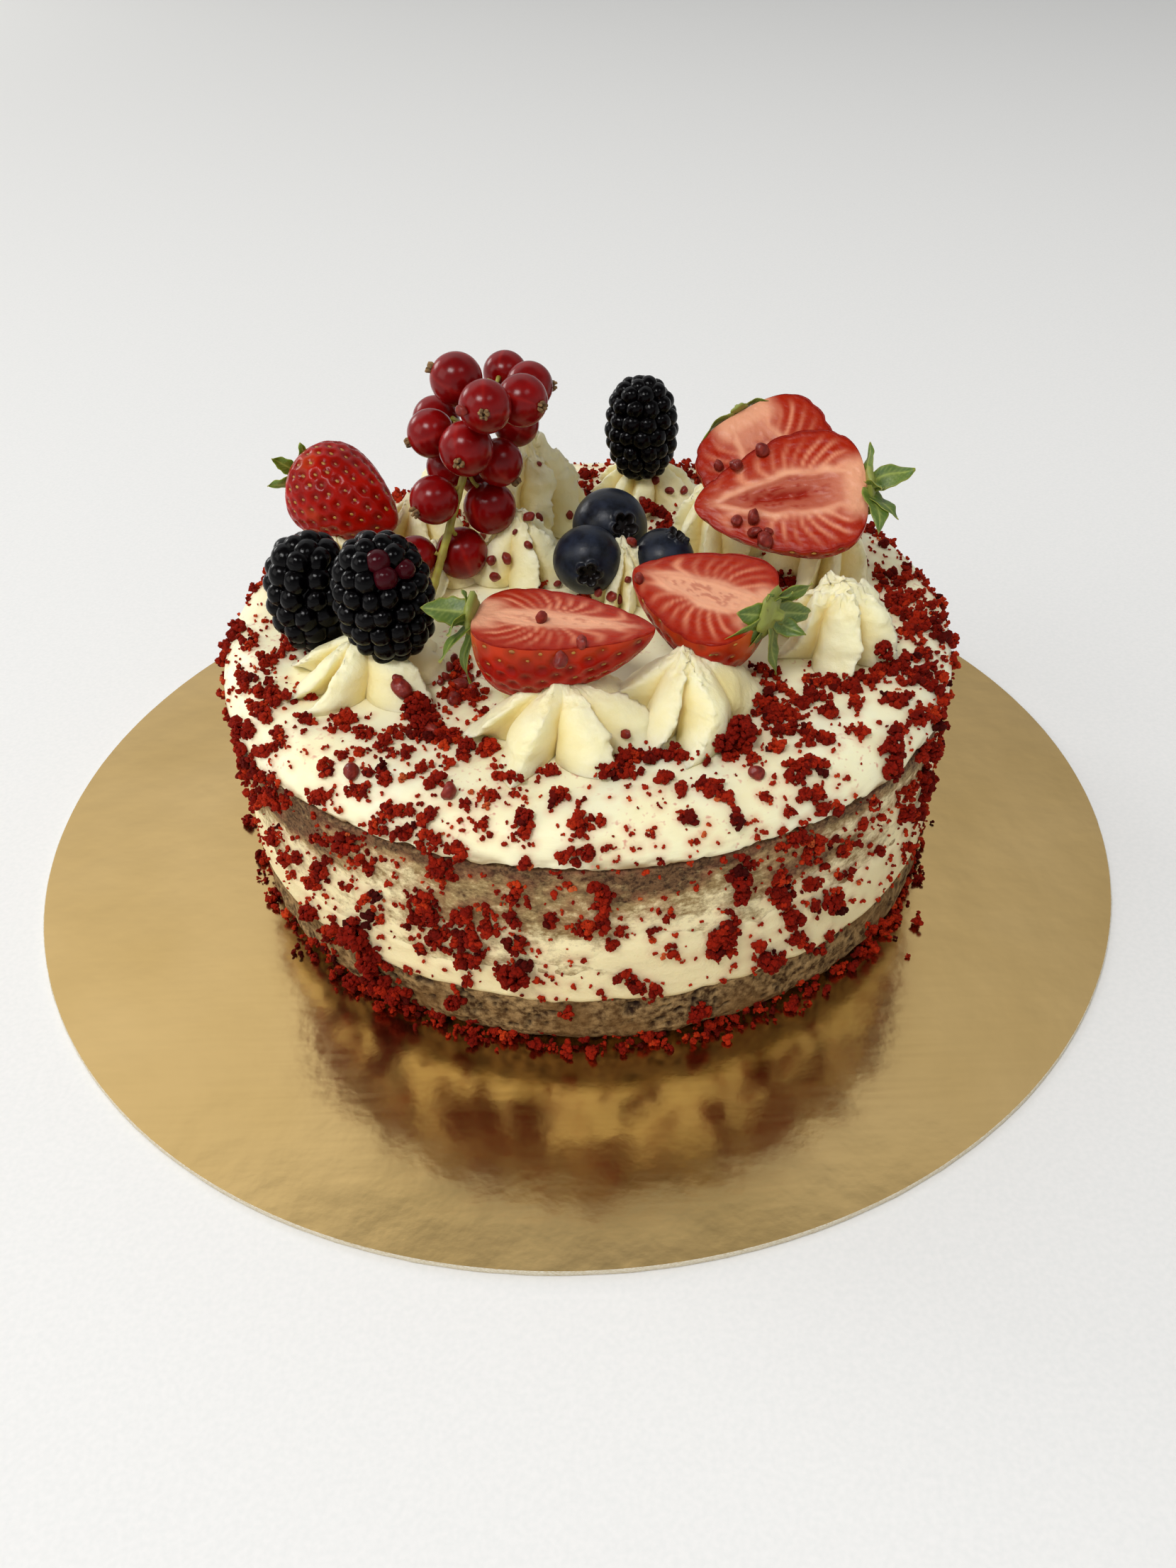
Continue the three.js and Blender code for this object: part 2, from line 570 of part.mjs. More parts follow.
addBoard();
addSpongeBase();
addFilling();
addSpongeUpper();
addBrambles();
BLUEBERRIES.forEach(addBlueberry);
addStrawberries();
addCurrants();
addSwirls();
addCurrantStem();
addCalyxes();
addCreamTop();

export default cake;
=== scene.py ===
import math

import bmesh
import bpy
import numpy as np
from mathutils import Matrix, Vector
from mathutils.bvhtree import BVHTree
from mathutils.kdtree import KDTree


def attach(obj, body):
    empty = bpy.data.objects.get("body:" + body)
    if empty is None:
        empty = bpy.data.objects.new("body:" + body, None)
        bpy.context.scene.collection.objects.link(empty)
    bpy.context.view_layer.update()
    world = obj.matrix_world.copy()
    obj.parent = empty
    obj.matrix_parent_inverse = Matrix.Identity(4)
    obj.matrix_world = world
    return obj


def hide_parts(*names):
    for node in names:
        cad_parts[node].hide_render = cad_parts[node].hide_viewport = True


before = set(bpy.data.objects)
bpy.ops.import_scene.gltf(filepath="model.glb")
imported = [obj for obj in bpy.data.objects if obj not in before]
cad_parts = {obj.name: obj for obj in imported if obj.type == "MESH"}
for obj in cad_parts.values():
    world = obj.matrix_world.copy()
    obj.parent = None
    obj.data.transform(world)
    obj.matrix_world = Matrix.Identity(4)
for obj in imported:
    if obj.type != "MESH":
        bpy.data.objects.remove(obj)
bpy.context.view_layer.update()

# The looks of a round red velvet cake with piped cream and fruit, on its gold cake board. Shapes are
# worked out in millimetres, in the frame's own axes, and turned to metres when a piece is made.
MM = 0.001
rng = np.random.default_rng(20261124)


# ---------------------------------------------------------------- sizes shared with the solids (mm)
BOARD_RADIUS, BOARD_THICKNESS = 130.0, 1.5
CAKE_X, CAKE_Y, CAKE_RADIUS = 4.5, 0.0, 81.6
BASE_FOOT, BASE_TOP, CAKE_TOP = 1.8, 15.0, 60.0
SHOULDER = 8.5  # radius of the rounded edge of the cream on top
WANDER = 0.5  # how far the hand-spread wall strays from a circle
SWIRL_GROOVE = 0.42  # depth of the creases between a kiss's petals, as a share of its radius

# Photograph: its size in pixels, and the camera that took it (mm, degrees).
PHOTO_WIDTH, PHOTO_HEIGHT = 1659, 2212
FOCAL_PIXELS = 1750.0
CAMERA_AT = np.array([3.43, -246.49, 202.71])
CAMERA_TILT, CAMERA_ROLL = 51.52, -1.91
CAMERA_TURN = Matrix.Rotation(math.radians(CAMERA_TILT), 3, "X") @ Matrix.Rotation(
    math.radians(CAMERA_ROLL), 3, "Z")


# ---------------------------------------------------------------- small helpers
def linear(hex_colour):
    """An sRGB hex colour as linear red, green, blue and alpha."""
    channels = [int(hex_colour[i:i + 2], 16) / 255 for i in (1, 3, 5)]
    return [c / 12.92 if c <= 0.04045 else ((c + 0.055) / 1.055) ** 2.4 for c in channels] + [1.0]


def hashed(cells, seed):
    """A repeatable random value from -1 to 1 for each whole-number cell."""
    mixed = cells[:, 0] * 73856093 ^ cells[:, 1] * 19349663 ^ cells[:, 2] * 83492791 ^ (seed + 1) * 2654435
    mixed = ((mixed ^ (mixed >> 13)) & 0xFFFFFFFF) * 1274126177 & 0xFFFFFFFF
    mixed = (mixed ^ (mixed >> 16)) * 668265263 & 0xFFFFFFFF
    return (mixed & 0xFFFFFF) / float(0x7FFFFF) - 1


def noise(points, size, seed=0, octaves=1):
    """Smooth noise from about -1 to 1 at each point, its swells `size` millimetres long."""
    points = np.asarray(points, float)
    shape = points.shape[:-1]
    points = points.reshape(-1, 3)
    total = np.zeros(len(points))
    for octave in range(octaves):
        scaled = points * 2 ** octave / np.asarray(size, float)
        cell = np.floor(scaled).astype(np.int64)
        part = scaled - cell
        part = part * part * (3 - 2 * part)
        for corner in range(8):
            step = np.array([corner & 1, corner >> 1 & 1, corner >> 2 & 1])
            weight = np.prod(np.where(step, part, 1 - part), axis=1)
            total += weight * hashed(cell + step, seed + 17 * octave) / 2 ** octave
    return total.reshape(shape)


def push(points, size, seed, octaves=1):
    """Smooth noise in three directions at each point."""
    return np.stack([noise(points, size, seed + i, octaves) for i in range(3)], -1)


def ease(value, low, high):
    """0 below `low`, 1 above `high` and a smooth rise between them."""
    share = np.clip((value - low) / (high - low), 0, 1)
    return share * share * (3 - 2 * share)


def unit(vectors):
    vectors = np.asarray(vectors, float)
    return vectors / np.maximum(np.linalg.norm(vectors, axis=-1, keepdims=True), 1e-9)


class Skin:
    """Points in mm, blocks of faces (corner rows, material number), and named values, one per point."""

    def __init__(self, points, blocks, **values):
        self.points = np.asarray(points, float).reshape(-1, 3)
        self.blocks = [(np.asarray(rows, np.int64), number) for rows, number in blocks]
        self.values = {name: np.broadcast_to(np.asarray(value, float).reshape(-1), len(self.points)).copy()
                       for name, value in values.items()}

    def placed(self, turn, at):
        """The same skin, turned by a 3 by 3 matrix and moved."""
        return Skin(self.points @ np.asarray(turn).T + at, self.blocks, **self.values)

    def dipped(self, material):
        """The same skin, all in one material."""
        return Skin(self.points, [(rows, material) for rows, _ in self.blocks], **self.values)


def joined(skins):
    start, blocks = 0, []
    for skin in skins:
        blocks += [(rows + start, number) for rows, number in skin.blocks]
        start += len(skin.points)
    names = sorted({name for skin in skins for name in skin.values})
    values = {name: np.concatenate([skin.values.get(name, np.zeros(len(skin.points))) for skin in skins])
              for name in names}
    return Skin(np.vstack([skin.points for skin in skins]), blocks, **values)


def sheet_faces(rows, columns, closed):
    """Corner rows of the quads between neighbouring points of a grid, facing out of rising rings."""
    last = columns if closed else columns - 1
    row, column = np.meshgrid(np.arange(rows - 1), np.arange(last), indexing="ij")
    here, beside = row * columns + column, row * columns + (column + 1) % columns
    return np.stack([here, beside, beside + columns, here + columns], -1).reshape(-1, 4)


def tube(rings, **values):
    """A closed skin over rings of points that rise from the first to the last."""
    count, columns = rings.shape[:2]
    points = np.vstack([rings.reshape(-1, 3), rings[0].mean(axis=0), rings[-1].mean(axis=0)])
    around = np.arange(columns)
    after = (around + 1) % columns
    low = np.stack([after, around, np.full(columns, count * columns)], -1)
    high = np.stack([around, after, np.full(columns, 0)], -1) + (count - 1) * columns
    high[:, 2] = count * columns + 1
    padded = {name: np.append(np.ravel(value), [np.ravel(value)[0], np.ravel(value)[-1]])
              for name, value in values.items()}
    return Skin(points, [(sheet_faces(count, columns, True), 0), (low, 0), (high, 0)], **padded)


def ball(level):
    """A unit ball of triangles."""
    shape = bmesh.new()
    bmesh.ops.create_icosphere(shape, subdivisions=level, radius=1)
    points = np.array([corner.co[:] for corner in shape.verts])
    faces = np.array([[corner.index for corner in face.verts] for face in shape.faces])
    shape.free()
    return points, faces


def axes(along, up):
    """A turn that takes local X to `along` and local Z as near `up` as it can be."""
    x = Vector(along).normalized()
    y = Vector(up).cross(x).normalized()
    return np.array([x, y, x.cross(y)]).T


def turn_from_z(direction):
    return np.array(Vector((0, 0, 1)).rotation_difference(Vector(direction)).to_matrix())


def turn_about_z(degrees):
    return np.array(Matrix.Rotation(math.radians(degrees), 3, "Z"))


def random_turn():
    """A turn to any direction at all, as a 3 by 3 matrix."""
    first, second, _ = np.linalg.qr(rng.normal(size=(3, 3)))[0]
    return np.array([first, second, np.cross(first, second)])


def make_piece(name, skin, materials, stands_for=(), smooth=True):
    """A mesh that rides on the cake, in metres."""
    mesh = bpy.data.meshes.new(name)
    counts = np.concatenate([np.full(len(rows), rows.shape[1]) for rows, _ in skin.blocks])
    mesh.vertices.add(len(skin.points))
    mesh.vertices.foreach_set("co", (skin.points * MM).ravel())
    mesh.loops.add(int(counts.sum()))
    mesh.loops.foreach_set("vertex_index", np.concatenate([rows.ravel() for rows, _ in skin.blocks]))
    mesh.polygons.add(len(counts))
    mesh.polygons.foreach_set("loop_start", np.cumsum(counts) - counts)
    mesh.polygons.foreach_set("material_index", np.concatenate(
        [np.full(len(rows), number) for rows, number in skin.blocks]))
    mesh.polygons.foreach_set("use_smooth", np.full(len(counts), smooth))
    for value_name, numbers in skin.values.items():
        mesh.attributes.new(value_name, "FLOAT", "POINT").data.foreach_set("value", numbers)
    for material in materials:
        mesh.materials.append(material)
    mesh.update(calc_edges=True)
    mesh.validate()
    piece = bpy.data.objects.new(name, mesh)
    bpy.context.scene.collection.objects.link(piece)
    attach(piece, "root")
    if stands_for:
        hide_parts(*stands_for)
    return piece


def carrier(skins):
    """What crumbs and grains can be dropped on."""
    whole = joined(skins)
    faces = [row for rows, _ in whole.blocks for row in rows.tolist()]
    return BVHTree.FromPolygons(whole.points.tolist(), faces)


def settle(tree, start, way):
    """Where something sent from `start` meets the carrier: the point and its outward direction, or None."""
    point, normal, _, _ = tree.ray_cast(Vector(start), Vector(way))
    return None if point is None else (np.array(point), np.array(normal))


def seen_at(tree, px, py):
    """Where a photograph's pixel meets the carrier: the point and its outward direction, or None."""
    sight = CAMERA_TURN @ Vector(((px - PHOTO_WIDTH / 2) / FOCAL_PIXELS,
                                  (PHOTO_HEIGHT / 2 - py) / FOCAL_PIXELS, -1))
    return settle(tree, CAMERA_AT, sight.normalized())


# ---------------------------------------------------------------- materials
NOISE, RAMP, RANGE, MATH = "ShaderNodeTexNoise", "ShaderNodeValToRGB", "ShaderNodeMapRange", "ShaderNodeMath"
MIX, BUMP, AT_POINT, STRETCH = "ShaderNodeMix", "ShaderNodeBump", "ShaderNodeAttribute", "ShaderNodeMapping"


def add(tree, kind, inputs=None, stops=(), output=None, **settings):
    """A node with its settings and its inputs (plain values, hex colours or sockets); gives its output."""
    node = tree.nodes.new(kind)
    for name, value in settings.items():
        setattr(node, name, value)
    for place, (position, colour) in enumerate(stops):
        ramp = node.color_ramp.elements
        stop = ramp[place] if place < len(ramp) else ramp.new(position)
        stop.position, stop.color = position, linear(colour)
    for socket, value in (inputs or {}).items():
        if isinstance(value, bpy.types.NodeSocket):
            tree.links.new(value, node.inputs[socket])
        else:
            node.inputs[socket].default_value = linear(value) if isinstance(value, str) else value
    if output:
        return node.outputs[output]
    return next((socket for socket in node.outputs if socket.enabled), None)


def per(millimetres):
    """Texture scale, in metres of the model, for a pattern whose marks are this far apart."""
    return 1 / (millimetres * MM)


def new_material(name, values=(), patterns=()):
    """An empty material, its nodes, the place of the surface on the model, its points' named values, and
    noise patterns, each given as how far apart its marks are in mm, its detail and its roughness."""
    material = bpy.data.materials.new(name)
    material.use_nodes = True
    tree = material.node_tree
    tree.nodes.clear()
    place = add(tree, "ShaderNodeTexCoord", output="Object")
    named = [add(tree, AT_POINT, attribute_name=value, output="Fac") for value in values]
    noises = [add(tree, NOISE, {"Vector": place, "Scale": per(apart), "Detail": detail, "Roughness": rough})
              for apart, detail, rough in patterns]
    return material, tree, place, *named, *noises


def surface(material, tree, pattern, stops, layers, relief, inputs):
    """Ends a material: colour stops along a pattern, other colours laid over it as far as a value says, a
    relief with its depth in mm, and the other sockets of its shader."""
    colour = add(tree, RAMP, {"Fac": pattern}, stops)
    for share, over in layers:
        colour = add(tree, MIX, {0: share, 6: colour, 7: over}, data_type="RGBA")
    if relief:
        inputs["Normal"] = add(tree, BUMP, {"Height": relief[0], "Distance": relief[1] * MM})
    shader = add(tree, "ShaderNodeBsdfPrincipled", {"Base Color": colour, **inputs})
    add(tree, "ShaderNodeOutputMaterial", {"Surface": shader})
    return material


def gold_foil():
    # Laminated card with rolled gold foil: a soft mirror with fine orange peel from the card below, and
    # a few hairline rub marks.
    material, tree, place, ripple, peel, fine, clouds = new_material(
        "rolled gold foil on card", (), ((9, 1, 0.4), (2.6, 1, 0.4), (0.7, 2, 0.6), (40, 2, 0.5)))
    height = add(tree, MATH, {0: fine, 1: 0.2, 2: peel}, operation="MULTIPLY_ADD")
    height = add(tree, MATH, {0: ripple, 1: 4.0, 2: height}, operation="MULTIPLY_ADD")
    stretched = add(tree, STRETCH, {"Vector": place, "Scale": (0.06, 1.0, 1.0)})
    rubs = add(tree, NOISE, {"Vector": stretched, "Scale": per(1.2), "Detail": 2.0})
    rubbed = add(tree, RANGE, {"Value": rubs, "From Min": 0.3, "From Max": 0.75, "To Min": 0.16,
                               "To Max": 0.21})
    return surface(material, tree, clouds, ((0.3, "#c4a56b"), (0.7, "#cdae75")), (), (height, 0.04),
                   {"Roughness": rubbed, "Metallic": 1.0})


def card_edge():
    # Pressed white card where the board was die-cut: matt, faintly fibrous, yellowed by the foil.
    material, tree, place = new_material("die-cut white card edge")
    stretched = add(tree, STRETCH, {"Vector": place, "Scale": (1.0, 1.0, 4.0)})
    fibres = add(tree, NOISE, {"Vector": stretched, "Scale": per(0.5), "Detail": 3.0})
    return surface(material, tree, fibres, ((0.3, "#b9a781"), (0.6, "#d8d0bd")), (), (fibres, 0.05),
                   {"Roughness": 0.75})


def spread_cream():
    # Cream cheese frosting spread with a palette knife: thick, faintly warm, half-matt, light goes into
    # it, and crumbs have bled into it (`blush`) and left pink specks. Sponge shows where it is `thin`.
    material, tree, place, blush, thin, clouds, specks, patches = new_material(
        "frosting spread with a palette knife", ("blush", "thin"),
        ((14, 3, 0.5), (1.1, 1, 0.4), (16, 1, 0.5)))
    bled = add(tree, MATH, {
        0: add(tree, RANGE, {"Value": specks, "From Min": 0.62, "From Max": 0.78}),
        1: add(tree, RANGE, {"Value": patches, "From Min": 0.46, "From Max": 0.62})}, operation="MULTIPLY")
    stretched = add(tree, STRETCH, {"Vector": place, "Scale": (0.35, 0.35, 1.6)})
    drags = add(tree, NOISE, {"Vector": stretched, "Scale": per(1.4), "Detail": 3.0, "Roughness": 0.6})
    pink = add(tree, RANGE, {"Value": blush, "From Min": 0.35, "From Max": 1.0, "To Max": 0.32})
    return surface(material, tree, clouds, ((0.35, "#fcf1c4"), (0.7, "#fffad6")),
                   ((pink, "#e29a80"), (thin, "#8f7048"), (bled, "#dfa58c")), (drags, 0.16), {
        "Roughness": 0.42, "IOR": 1.45, "Specular IOR Level": 0.35, "Subsurface Weight": 0.35,
        "Subsurface Scale": 4 * MM, "Subsurface Radius": (1.0, 0.93, 0.68)})


def piped_cream():
    # The same frosting forced through a star nozzle: smooth between the ridges and faintly torn along
    # them, yellow where light has gone through it in each `groove`.
    material, tree, _, groove, clouds, tears = new_material(
        "frosting piped through a star nozzle", ("groove",), ((6, 3, 0.5), (1.0, 4, 0.65)))
    yolky = add(tree, RANGE, {"Value": groove, "From Min": 0.25, "From Max": 1.0, "To Max": 0.8})
    return surface(material, tree, clouds, ((0.3, "#f6eab6"), (0.75, "#fcf4cc")), ((yolky, "#f0dc90"),),
                   (tears, 0.2), {
        "Roughness": 0.4, "IOR": 1.45, "Specular IOR Level": 0.35, "Subsurface Weight": 0.45,
        "Subsurface Scale": 5 * MM, "Subsurface Radius": (1.0, 0.9, 0.6)})


def scraped_coat():
    # Thin coat of frosting scraped back to the cake: `film` says how much stays, from bare sponge at 0
    # to opaque cream at 1, with drag marks along the wall and a `blush` where crumbs have bled. Just under
    # the cap's edge it is lowered, so the sponge shows there as partly real bare sponge and partly painted
    # shade.
    material, tree, place, film, blush, pores = new_material(
        "frosting scraped thin over sponge", ("film", "blush"), ((0.8, 3, 0.65),))
    stretched = add(tree, STRETCH, {"Vector": place, "Scale": (0.75, 0.75, 1.05)})
    drags = add(tree, NOISE, {"Vector": stretched, "Scale": per(1.6), "Detail": 5.0, "Roughness": 0.72})
    worn = add(tree, MATH, {0: drags, 1: -0.5})
    worn = add(tree, MATH, {0: worn, 1: 1.3, 2: film}, operation="MULTIPLY_ADD")
    veil = add(tree, RAMP, {"Fac": drags}, ((0.3, "#8a7046"), (0.7, "#b69d6c")))
    thin = add(tree, RANGE, {"Value": worn, "From Min": 0.08, "From Max": 0.42})
    thick = add(tree, RANGE, {"Value": worn, "From Min": 0.45, "From Max": 0.85})
    pink = add(tree, RANGE, {"Value": blush, "From Min": 0.2, "From Max": 1.0, "To Max": 0.25})
    return surface(material, tree, pores, ((0.36, "#382212"), (0.6, "#765638")),
                   ((thin, veil), (thick, "#f9ebbc"), (pink, "#c47a5c")),
                   (add(tree, MATH, {0: drags, 1: pores}), 0.14), {
        "Roughness": add(tree, RANGE, {"Value": worn, "To Min": 0.8, "To Max": 0.45}),
        "IOR": 1.45, "Specular IOR Level": 0.3, "Subsurface Weight": 0.15, "Subsurface Scale": 2 * MM,
        "Subsurface Radius": (1.0, 0.6, 0.35)})


def bare_sponge():
    # Baked red velvet sponge, cut at the side: open crumb, dull red-brown gone grey-green in the air,
    # with painted shade darkening its pores (`pit`).
    material, tree, _, pit, crumb, clouds, fine = new_material(
        "baked red velvet sponge, cut side", ("pit",), ((1.7, 3, 0.6), (12, 2, 0.5), (0.8, 3, 0.65)))
    cloudy = add(tree, RANGE, {"Value": clouds, "From Min": 0.45, "From Max": 0.75})
    return surface(material, tree, crumb, ((0.36, "#3e2712"), (0.62, "#a88a5e")),
                   ((cloudy, "#765630"), (pit, "#241008")), (fine, 0.35),
                   {"Roughness": 0.85, "Specular IOR Level": 0.2})


def red_crumb():
    # Crumbled red velvet sponge: saturated red on lit grains, with painted shade near black in the pores.
    # `tone` makes each crumb lighter or darker than its neighbours.
    material, tree, _, tone, pores = new_material(
        "crumbled red velvet sponge", ("tone",), ((0.7, 2, 0.6),))
    # Painted shade: the low spots of the pore relief are darkened near black.
    deep = add(tree, RANGE, {"Value": pores, "From Min": 0.5, "From Max": 0.3, "To Max": 0.7})
    reds = ((0.0, "#3c0502"), (0.3, "#7c1204"), (0.6, "#a4240a"), (0.85, "#c03a14"), (1.0, "#c47a44"))
    return surface(material, tree, tone, reds, ((deep, "#380503"),), (pores, 0.25),
                   {"Roughness": 0.85, "Specular IOR Level": 0.1})


def ruby_grain():
    # Freeze-dried fruit sugar in rough pebbles: dull ruby with a slight glint.
    material, tree, _, clouds, rough = new_material(
        "freeze-dried ruby sugar grain", (), ((1.2, 2, 0.5), (0.6, 2, 0.5)))
    return surface(material, tree, clouds, ((0.3, "#64140f"), (0.7, "#8c2c1e")), (), (rough, 0.12),
                   {"Roughness": 0.36, "Specular IOR Level": 0.3})


def strawberry_skin():
    # Ripe strawberry: wet-looking wax skin, with painted shade darkening each seed's dimple, and pale by the
    # stem.
    material, tree, _, dimple, pale, clouds, fine = new_material(
        "ripe strawberry skin", ("dimple", "pale"), ((5, 2, 0.5), (0.6, 2, 0.5)))
    return surface(material, tree, clouds, ((0.3, "#8c0a02"), (0.7, "#b41404")),
                   ((dimple, "#6c0a03"), (pale, "#cc5a24")), (fine, 0.03), {
        "Roughness": 0.25, "IOR": 1.36, "Specular IOR Level": 0.2, "Coat Weight": 0.05,
        "Coat Roughness": 0.1, "Subsurface Weight": 0.04, "Subsurface Scale": 1 * MM,
        "Subsurface Radius": (1.0, 0.2, 0.1)})


def strawberry_seed():
    # Dry seeds on the skin: straw yellow to brown, smooth.
    material, tree, _, clouds = new_material("dry strawberry seed", (), ((2.5, 2, 0.5),))
    return surface(material, tree, clouds, ((0.35, "#8a4a1a"), (0.65, "#b4842e")), (), None,
                   {"Roughness": 0.4})


def cut_strawberry():
    # Knife-cut strawberry flesh, wet: red at the `rim`, pale `ray` lines to a whitish `core`, and `slit`
    # darker red: real specks, with painted shade in the sunken hollow in its middle.
    material, tree, _, rim, ray, core, slit, cells = new_material(
        "knife-cut strawberry flesh", ("rim", "ray", "core", "slit"), ((0.9, 3, 0.6),))
    grainy = add(tree, RANGE, {"Value": cells, "From Min": 0.35, "From Max": 0.7, "To Max": 0.3})
    return surface(material, tree, rim, ((0.0, "#a42002"), (1.0, "#820c00")),
                   ((grainy, "#b43410"), (ray, "#e2906c"), (core, "#eaa884"), (slit, "#98220f")),
                   (cells, 0.1), {
        "Roughness": 0.36, "IOR": 1.38, "Specular IOR Level": 0.18, "Coat Weight": 0.05,
        "Coat Roughness": 0.2, "Subsurface Weight": 0.08, "Subsurface Scale": 1.5 * MM,
        "Subsurface Radius": (1.0, 0.3, 0.15)})


def calyx_leaf():
    # Fresh strawberry leaves, thin and matt: paler `vein`, edges yellowed (`edge`).
    material, tree, _, vein, edge, clouds, wrinkles = new_material(
        "fresh calyx leaf", ("vein", "edge"), ((4, 3, 0.5), (0.7, 3, 0.5)))
    return surface(material, tree, clouds, ((0.3, "#3c5816"), (0.7, "#62752a")),
                   ((vein, "#8f9a4a"), (edge, "#8f8a2e")), (wrinkles, 0.1), {
        "Roughness": 0.45, "Subsurface Weight": 0.3, "Subsurface Scale": 1 * MM,
        "Subsurface Radius": (0.6, 1.0, 0.2)})


def bramble_skin():
    # Ripe bramble drupelets: near black, taut and glossy. A few on the lit upper front of one bramble carry
    # painted light: wine red, as where light shines through them.
    material, tree, _, unripe, clouds, fine = new_material(
        "ripe bramble drupelet skin", ("unripe",), ((3, 2, 0.5), (1.1, 2, 0.5)))
    return surface(material, tree, clouds, ((0.4, "#020102"), (0.8, "#060405")), ((unripe, "#3a0810"),),
                   (fine, 0.06), {"Roughness": 0.18, "IOR": 1.36, "Specular IOR Level": 0.2})


def blueberry_skin():
    # Blueberry with its natural wax bloom, rubbed off in patches: blue-black, satin. Dry at its `crown`.
    material, tree, _, crown, bloom, fine = new_material(
        "blueberry skin with wax bloom", ("crown",), ((5, 4, 0.65), (1.2, 3, 0.5)))
    satin = add(tree, RANGE, {"Value": bloom, "From Min": 0.4, "From Max": 0.7, "To Min": 0.3,
                              "To Max": 0.5})
    return surface(material, tree, bloom, ((0.38, "#080a10"), (0.72, "#20283a")), ((crown, "#120d0c"),),
                   (fine, 0.05), {"Roughness": satin, "IOR": 1.4, "Specular IOR Level": 0.35})


def currant_skin():
    # Ripe red currant: clear tight skin over red jelly, with veins from pole to pole (`vein`).
    material, tree, _, vein, clouds = new_material("ripe red currant skin", ("vein",), ((6, 2, 0.5),))
    return surface(material, tree, clouds, ((0.3, "#6a0304"), (0.7, "#880808")), ((vein, "#b8281e"),),
                   None, {
        "Roughness": 0.22, "IOR": 1.38, "Specular IOR Level": 0.35, "Subsurface Weight": 0.25,
        "Subsurface Scale": 2.5 * MM, "Subsurface Radius": (1.0, 0.1, 0.06)})


def dry_flower():
    # Dried flower end of a currant: papery brown-beige.
    material, tree, _, fibres = new_material("dried currant flower", (), ((1, 3, 0.5),))
    return surface(material, tree, fibres, ((0.3, "#3a2414"), (0.7, "#a07c4c")), (), None,
                   {"Roughness": 0.8})


def green_stalk():
    # Fresh currant stalk: yellow-green, waxy, browner in places.
    material, tree, _, clouds = new_material("fresh currant stalk", (), ((3, 2, 0.5),))
    return surface(material, tree, clouds, ((0.35, "#a8a440"), (0.7, "#8c7430")), (), None,
                   {"Roughness": 0.45, "Subsurface Weight": 0.2, "Subsurface Scale": 1 * MM})


def backdrop_paper():
    # Wide roll of matt photographer's paper: even, no gloss.
    material, tree, _, grain = new_material("matt white backdrop paper", (), ((1, 2, 0.5),))
    return surface(material, tree, grain, ((0.3, "#ececea"), (0.7, "#f1f0ee")), (), None,
                   {"Roughness": 0.95, "Specular IOR Level": 0.1})


# ---------------------------------------------------------------- board and cake
COLUMNS = 720
AROUND = np.linspace(0, 2 * math.pi, COLUMNS, endpoint=False)
DEGREES_AROUND = np.degrees((AROUND + math.pi) % (2 * math.pi) - math.pi)


def wander(angle):
    """How far the hand-spread wall strays outwards."""
    return WANDER * (np.sin(2 * angle + 1.1) + 0.6 * np.sin(3 * angle + 4) + 0.4 * np.sin(7 * angle))


def flat_rings(outline, columns):
    """Rings about the Z axis from [radius, z] points."""
    angles = np.linspace(0, 2 * math.pi, columns, endpoint=False)
    outline = np.asarray(outline, float)
    return np.stack([outline[:, :1] * np.cos(angles), outline[:, :1] * np.sin(angles),
                     np.repeat(outline[:, 1:], columns, axis=1)], -1)


def band(rings, material=0):
    """An open skin over rings that rise from the first to the last."""
    return Skin(rings, [(sheet_faces(len(rings), rings.shape[1], True), material)])


def cake_rings(reach, height):
    """Rings of the cake's wall from its reach without wander and its height, both rows by columns."""
    full = reach + wander(AROUND) * np.clip(reach / CAKE_RADIUS, 0, 1)
    return np.stack([CAKE_X + full * np.cos(AROUND), CAKE_Y + full * np.sin(AROUND),
                     height + 0 * full], -1)


def on_wall(height):
    """Sample points for noise, one for each row and column of a wall."""
    return cake_rings(np.full((len(height), COLUMNS), CAKE_RADIUS), np.asarray(height)[:, None])


def board_piece():
    edge = BOARD_RADIUS - 0.25
    across = np.concatenate([np.linspace(0.5, edge - 2, 64), [edge - 0.6, edge]])
    top = flat_rings(np.stack([across, np.full(len(across), BOARD_THICKNESS)], -1), 288)[::-1]
    top[..., 2] -= 0.12 * (1 + noise(top, 34, 5)) * ease(np.hypot(top[..., 0], top[..., 1]), 84, 100)
    rim = np.array([[edge, 0], [BOARD_RADIUS, 0.15], [BOARD_RADIUS, 1.3], [edge, BOARD_THICKNESS - 0.1]])
    card = flat_rings(rim, 288)
    fray = 1 - 0.0007 * (1 + noise(card, (1.5, 1.5, 0.8), 3)) * (card[..., 2] > 0.05)
    card[..., :2] *= fray[..., None]
    card[-1, :, 2] = top[0, :, 2]
    card[-1, :, :2] = top[0, :, :2]
    below = flat_rings([[0.5, 0.0], [edge, 0.0]], 288)
    skin = joined([band(below), band(card, 1), band(top)])
    make_piece("gold_cake_board", skin, [gold_foil(), card_edge()], ["cake_board"])
    return skin


def base_piece():
    height = np.linspace(BASE_FOOT, BASE_TOP + 0.2, 32)
    spots = on_wall(height)
    inset = np.interp(height, [1.8, 3.2, 5.5, 15.2], [4.0, 1.9, 0.9, 0.9])[:, None]
    # `pit` sinks the wall here, and the material darkens the same spots as painted shade.
    pit = ease(noise(spots, 1.7, 11, 2) + 0.4 * noise(spots, 5.5, 12), 0.45, 0.9)
    reach = CAKE_RADIUS - inset + 0.4 * noise(spots, 3.4, 13, 2) - 0.9 * pit
    rings = cake_rings(reach, height[:, None])
    skin = tube(rings, pit=pit)
    make_piece("bare_sponge_base", skin, [MATERIALS["sponge"]], ["sponge_base"])
    return skin


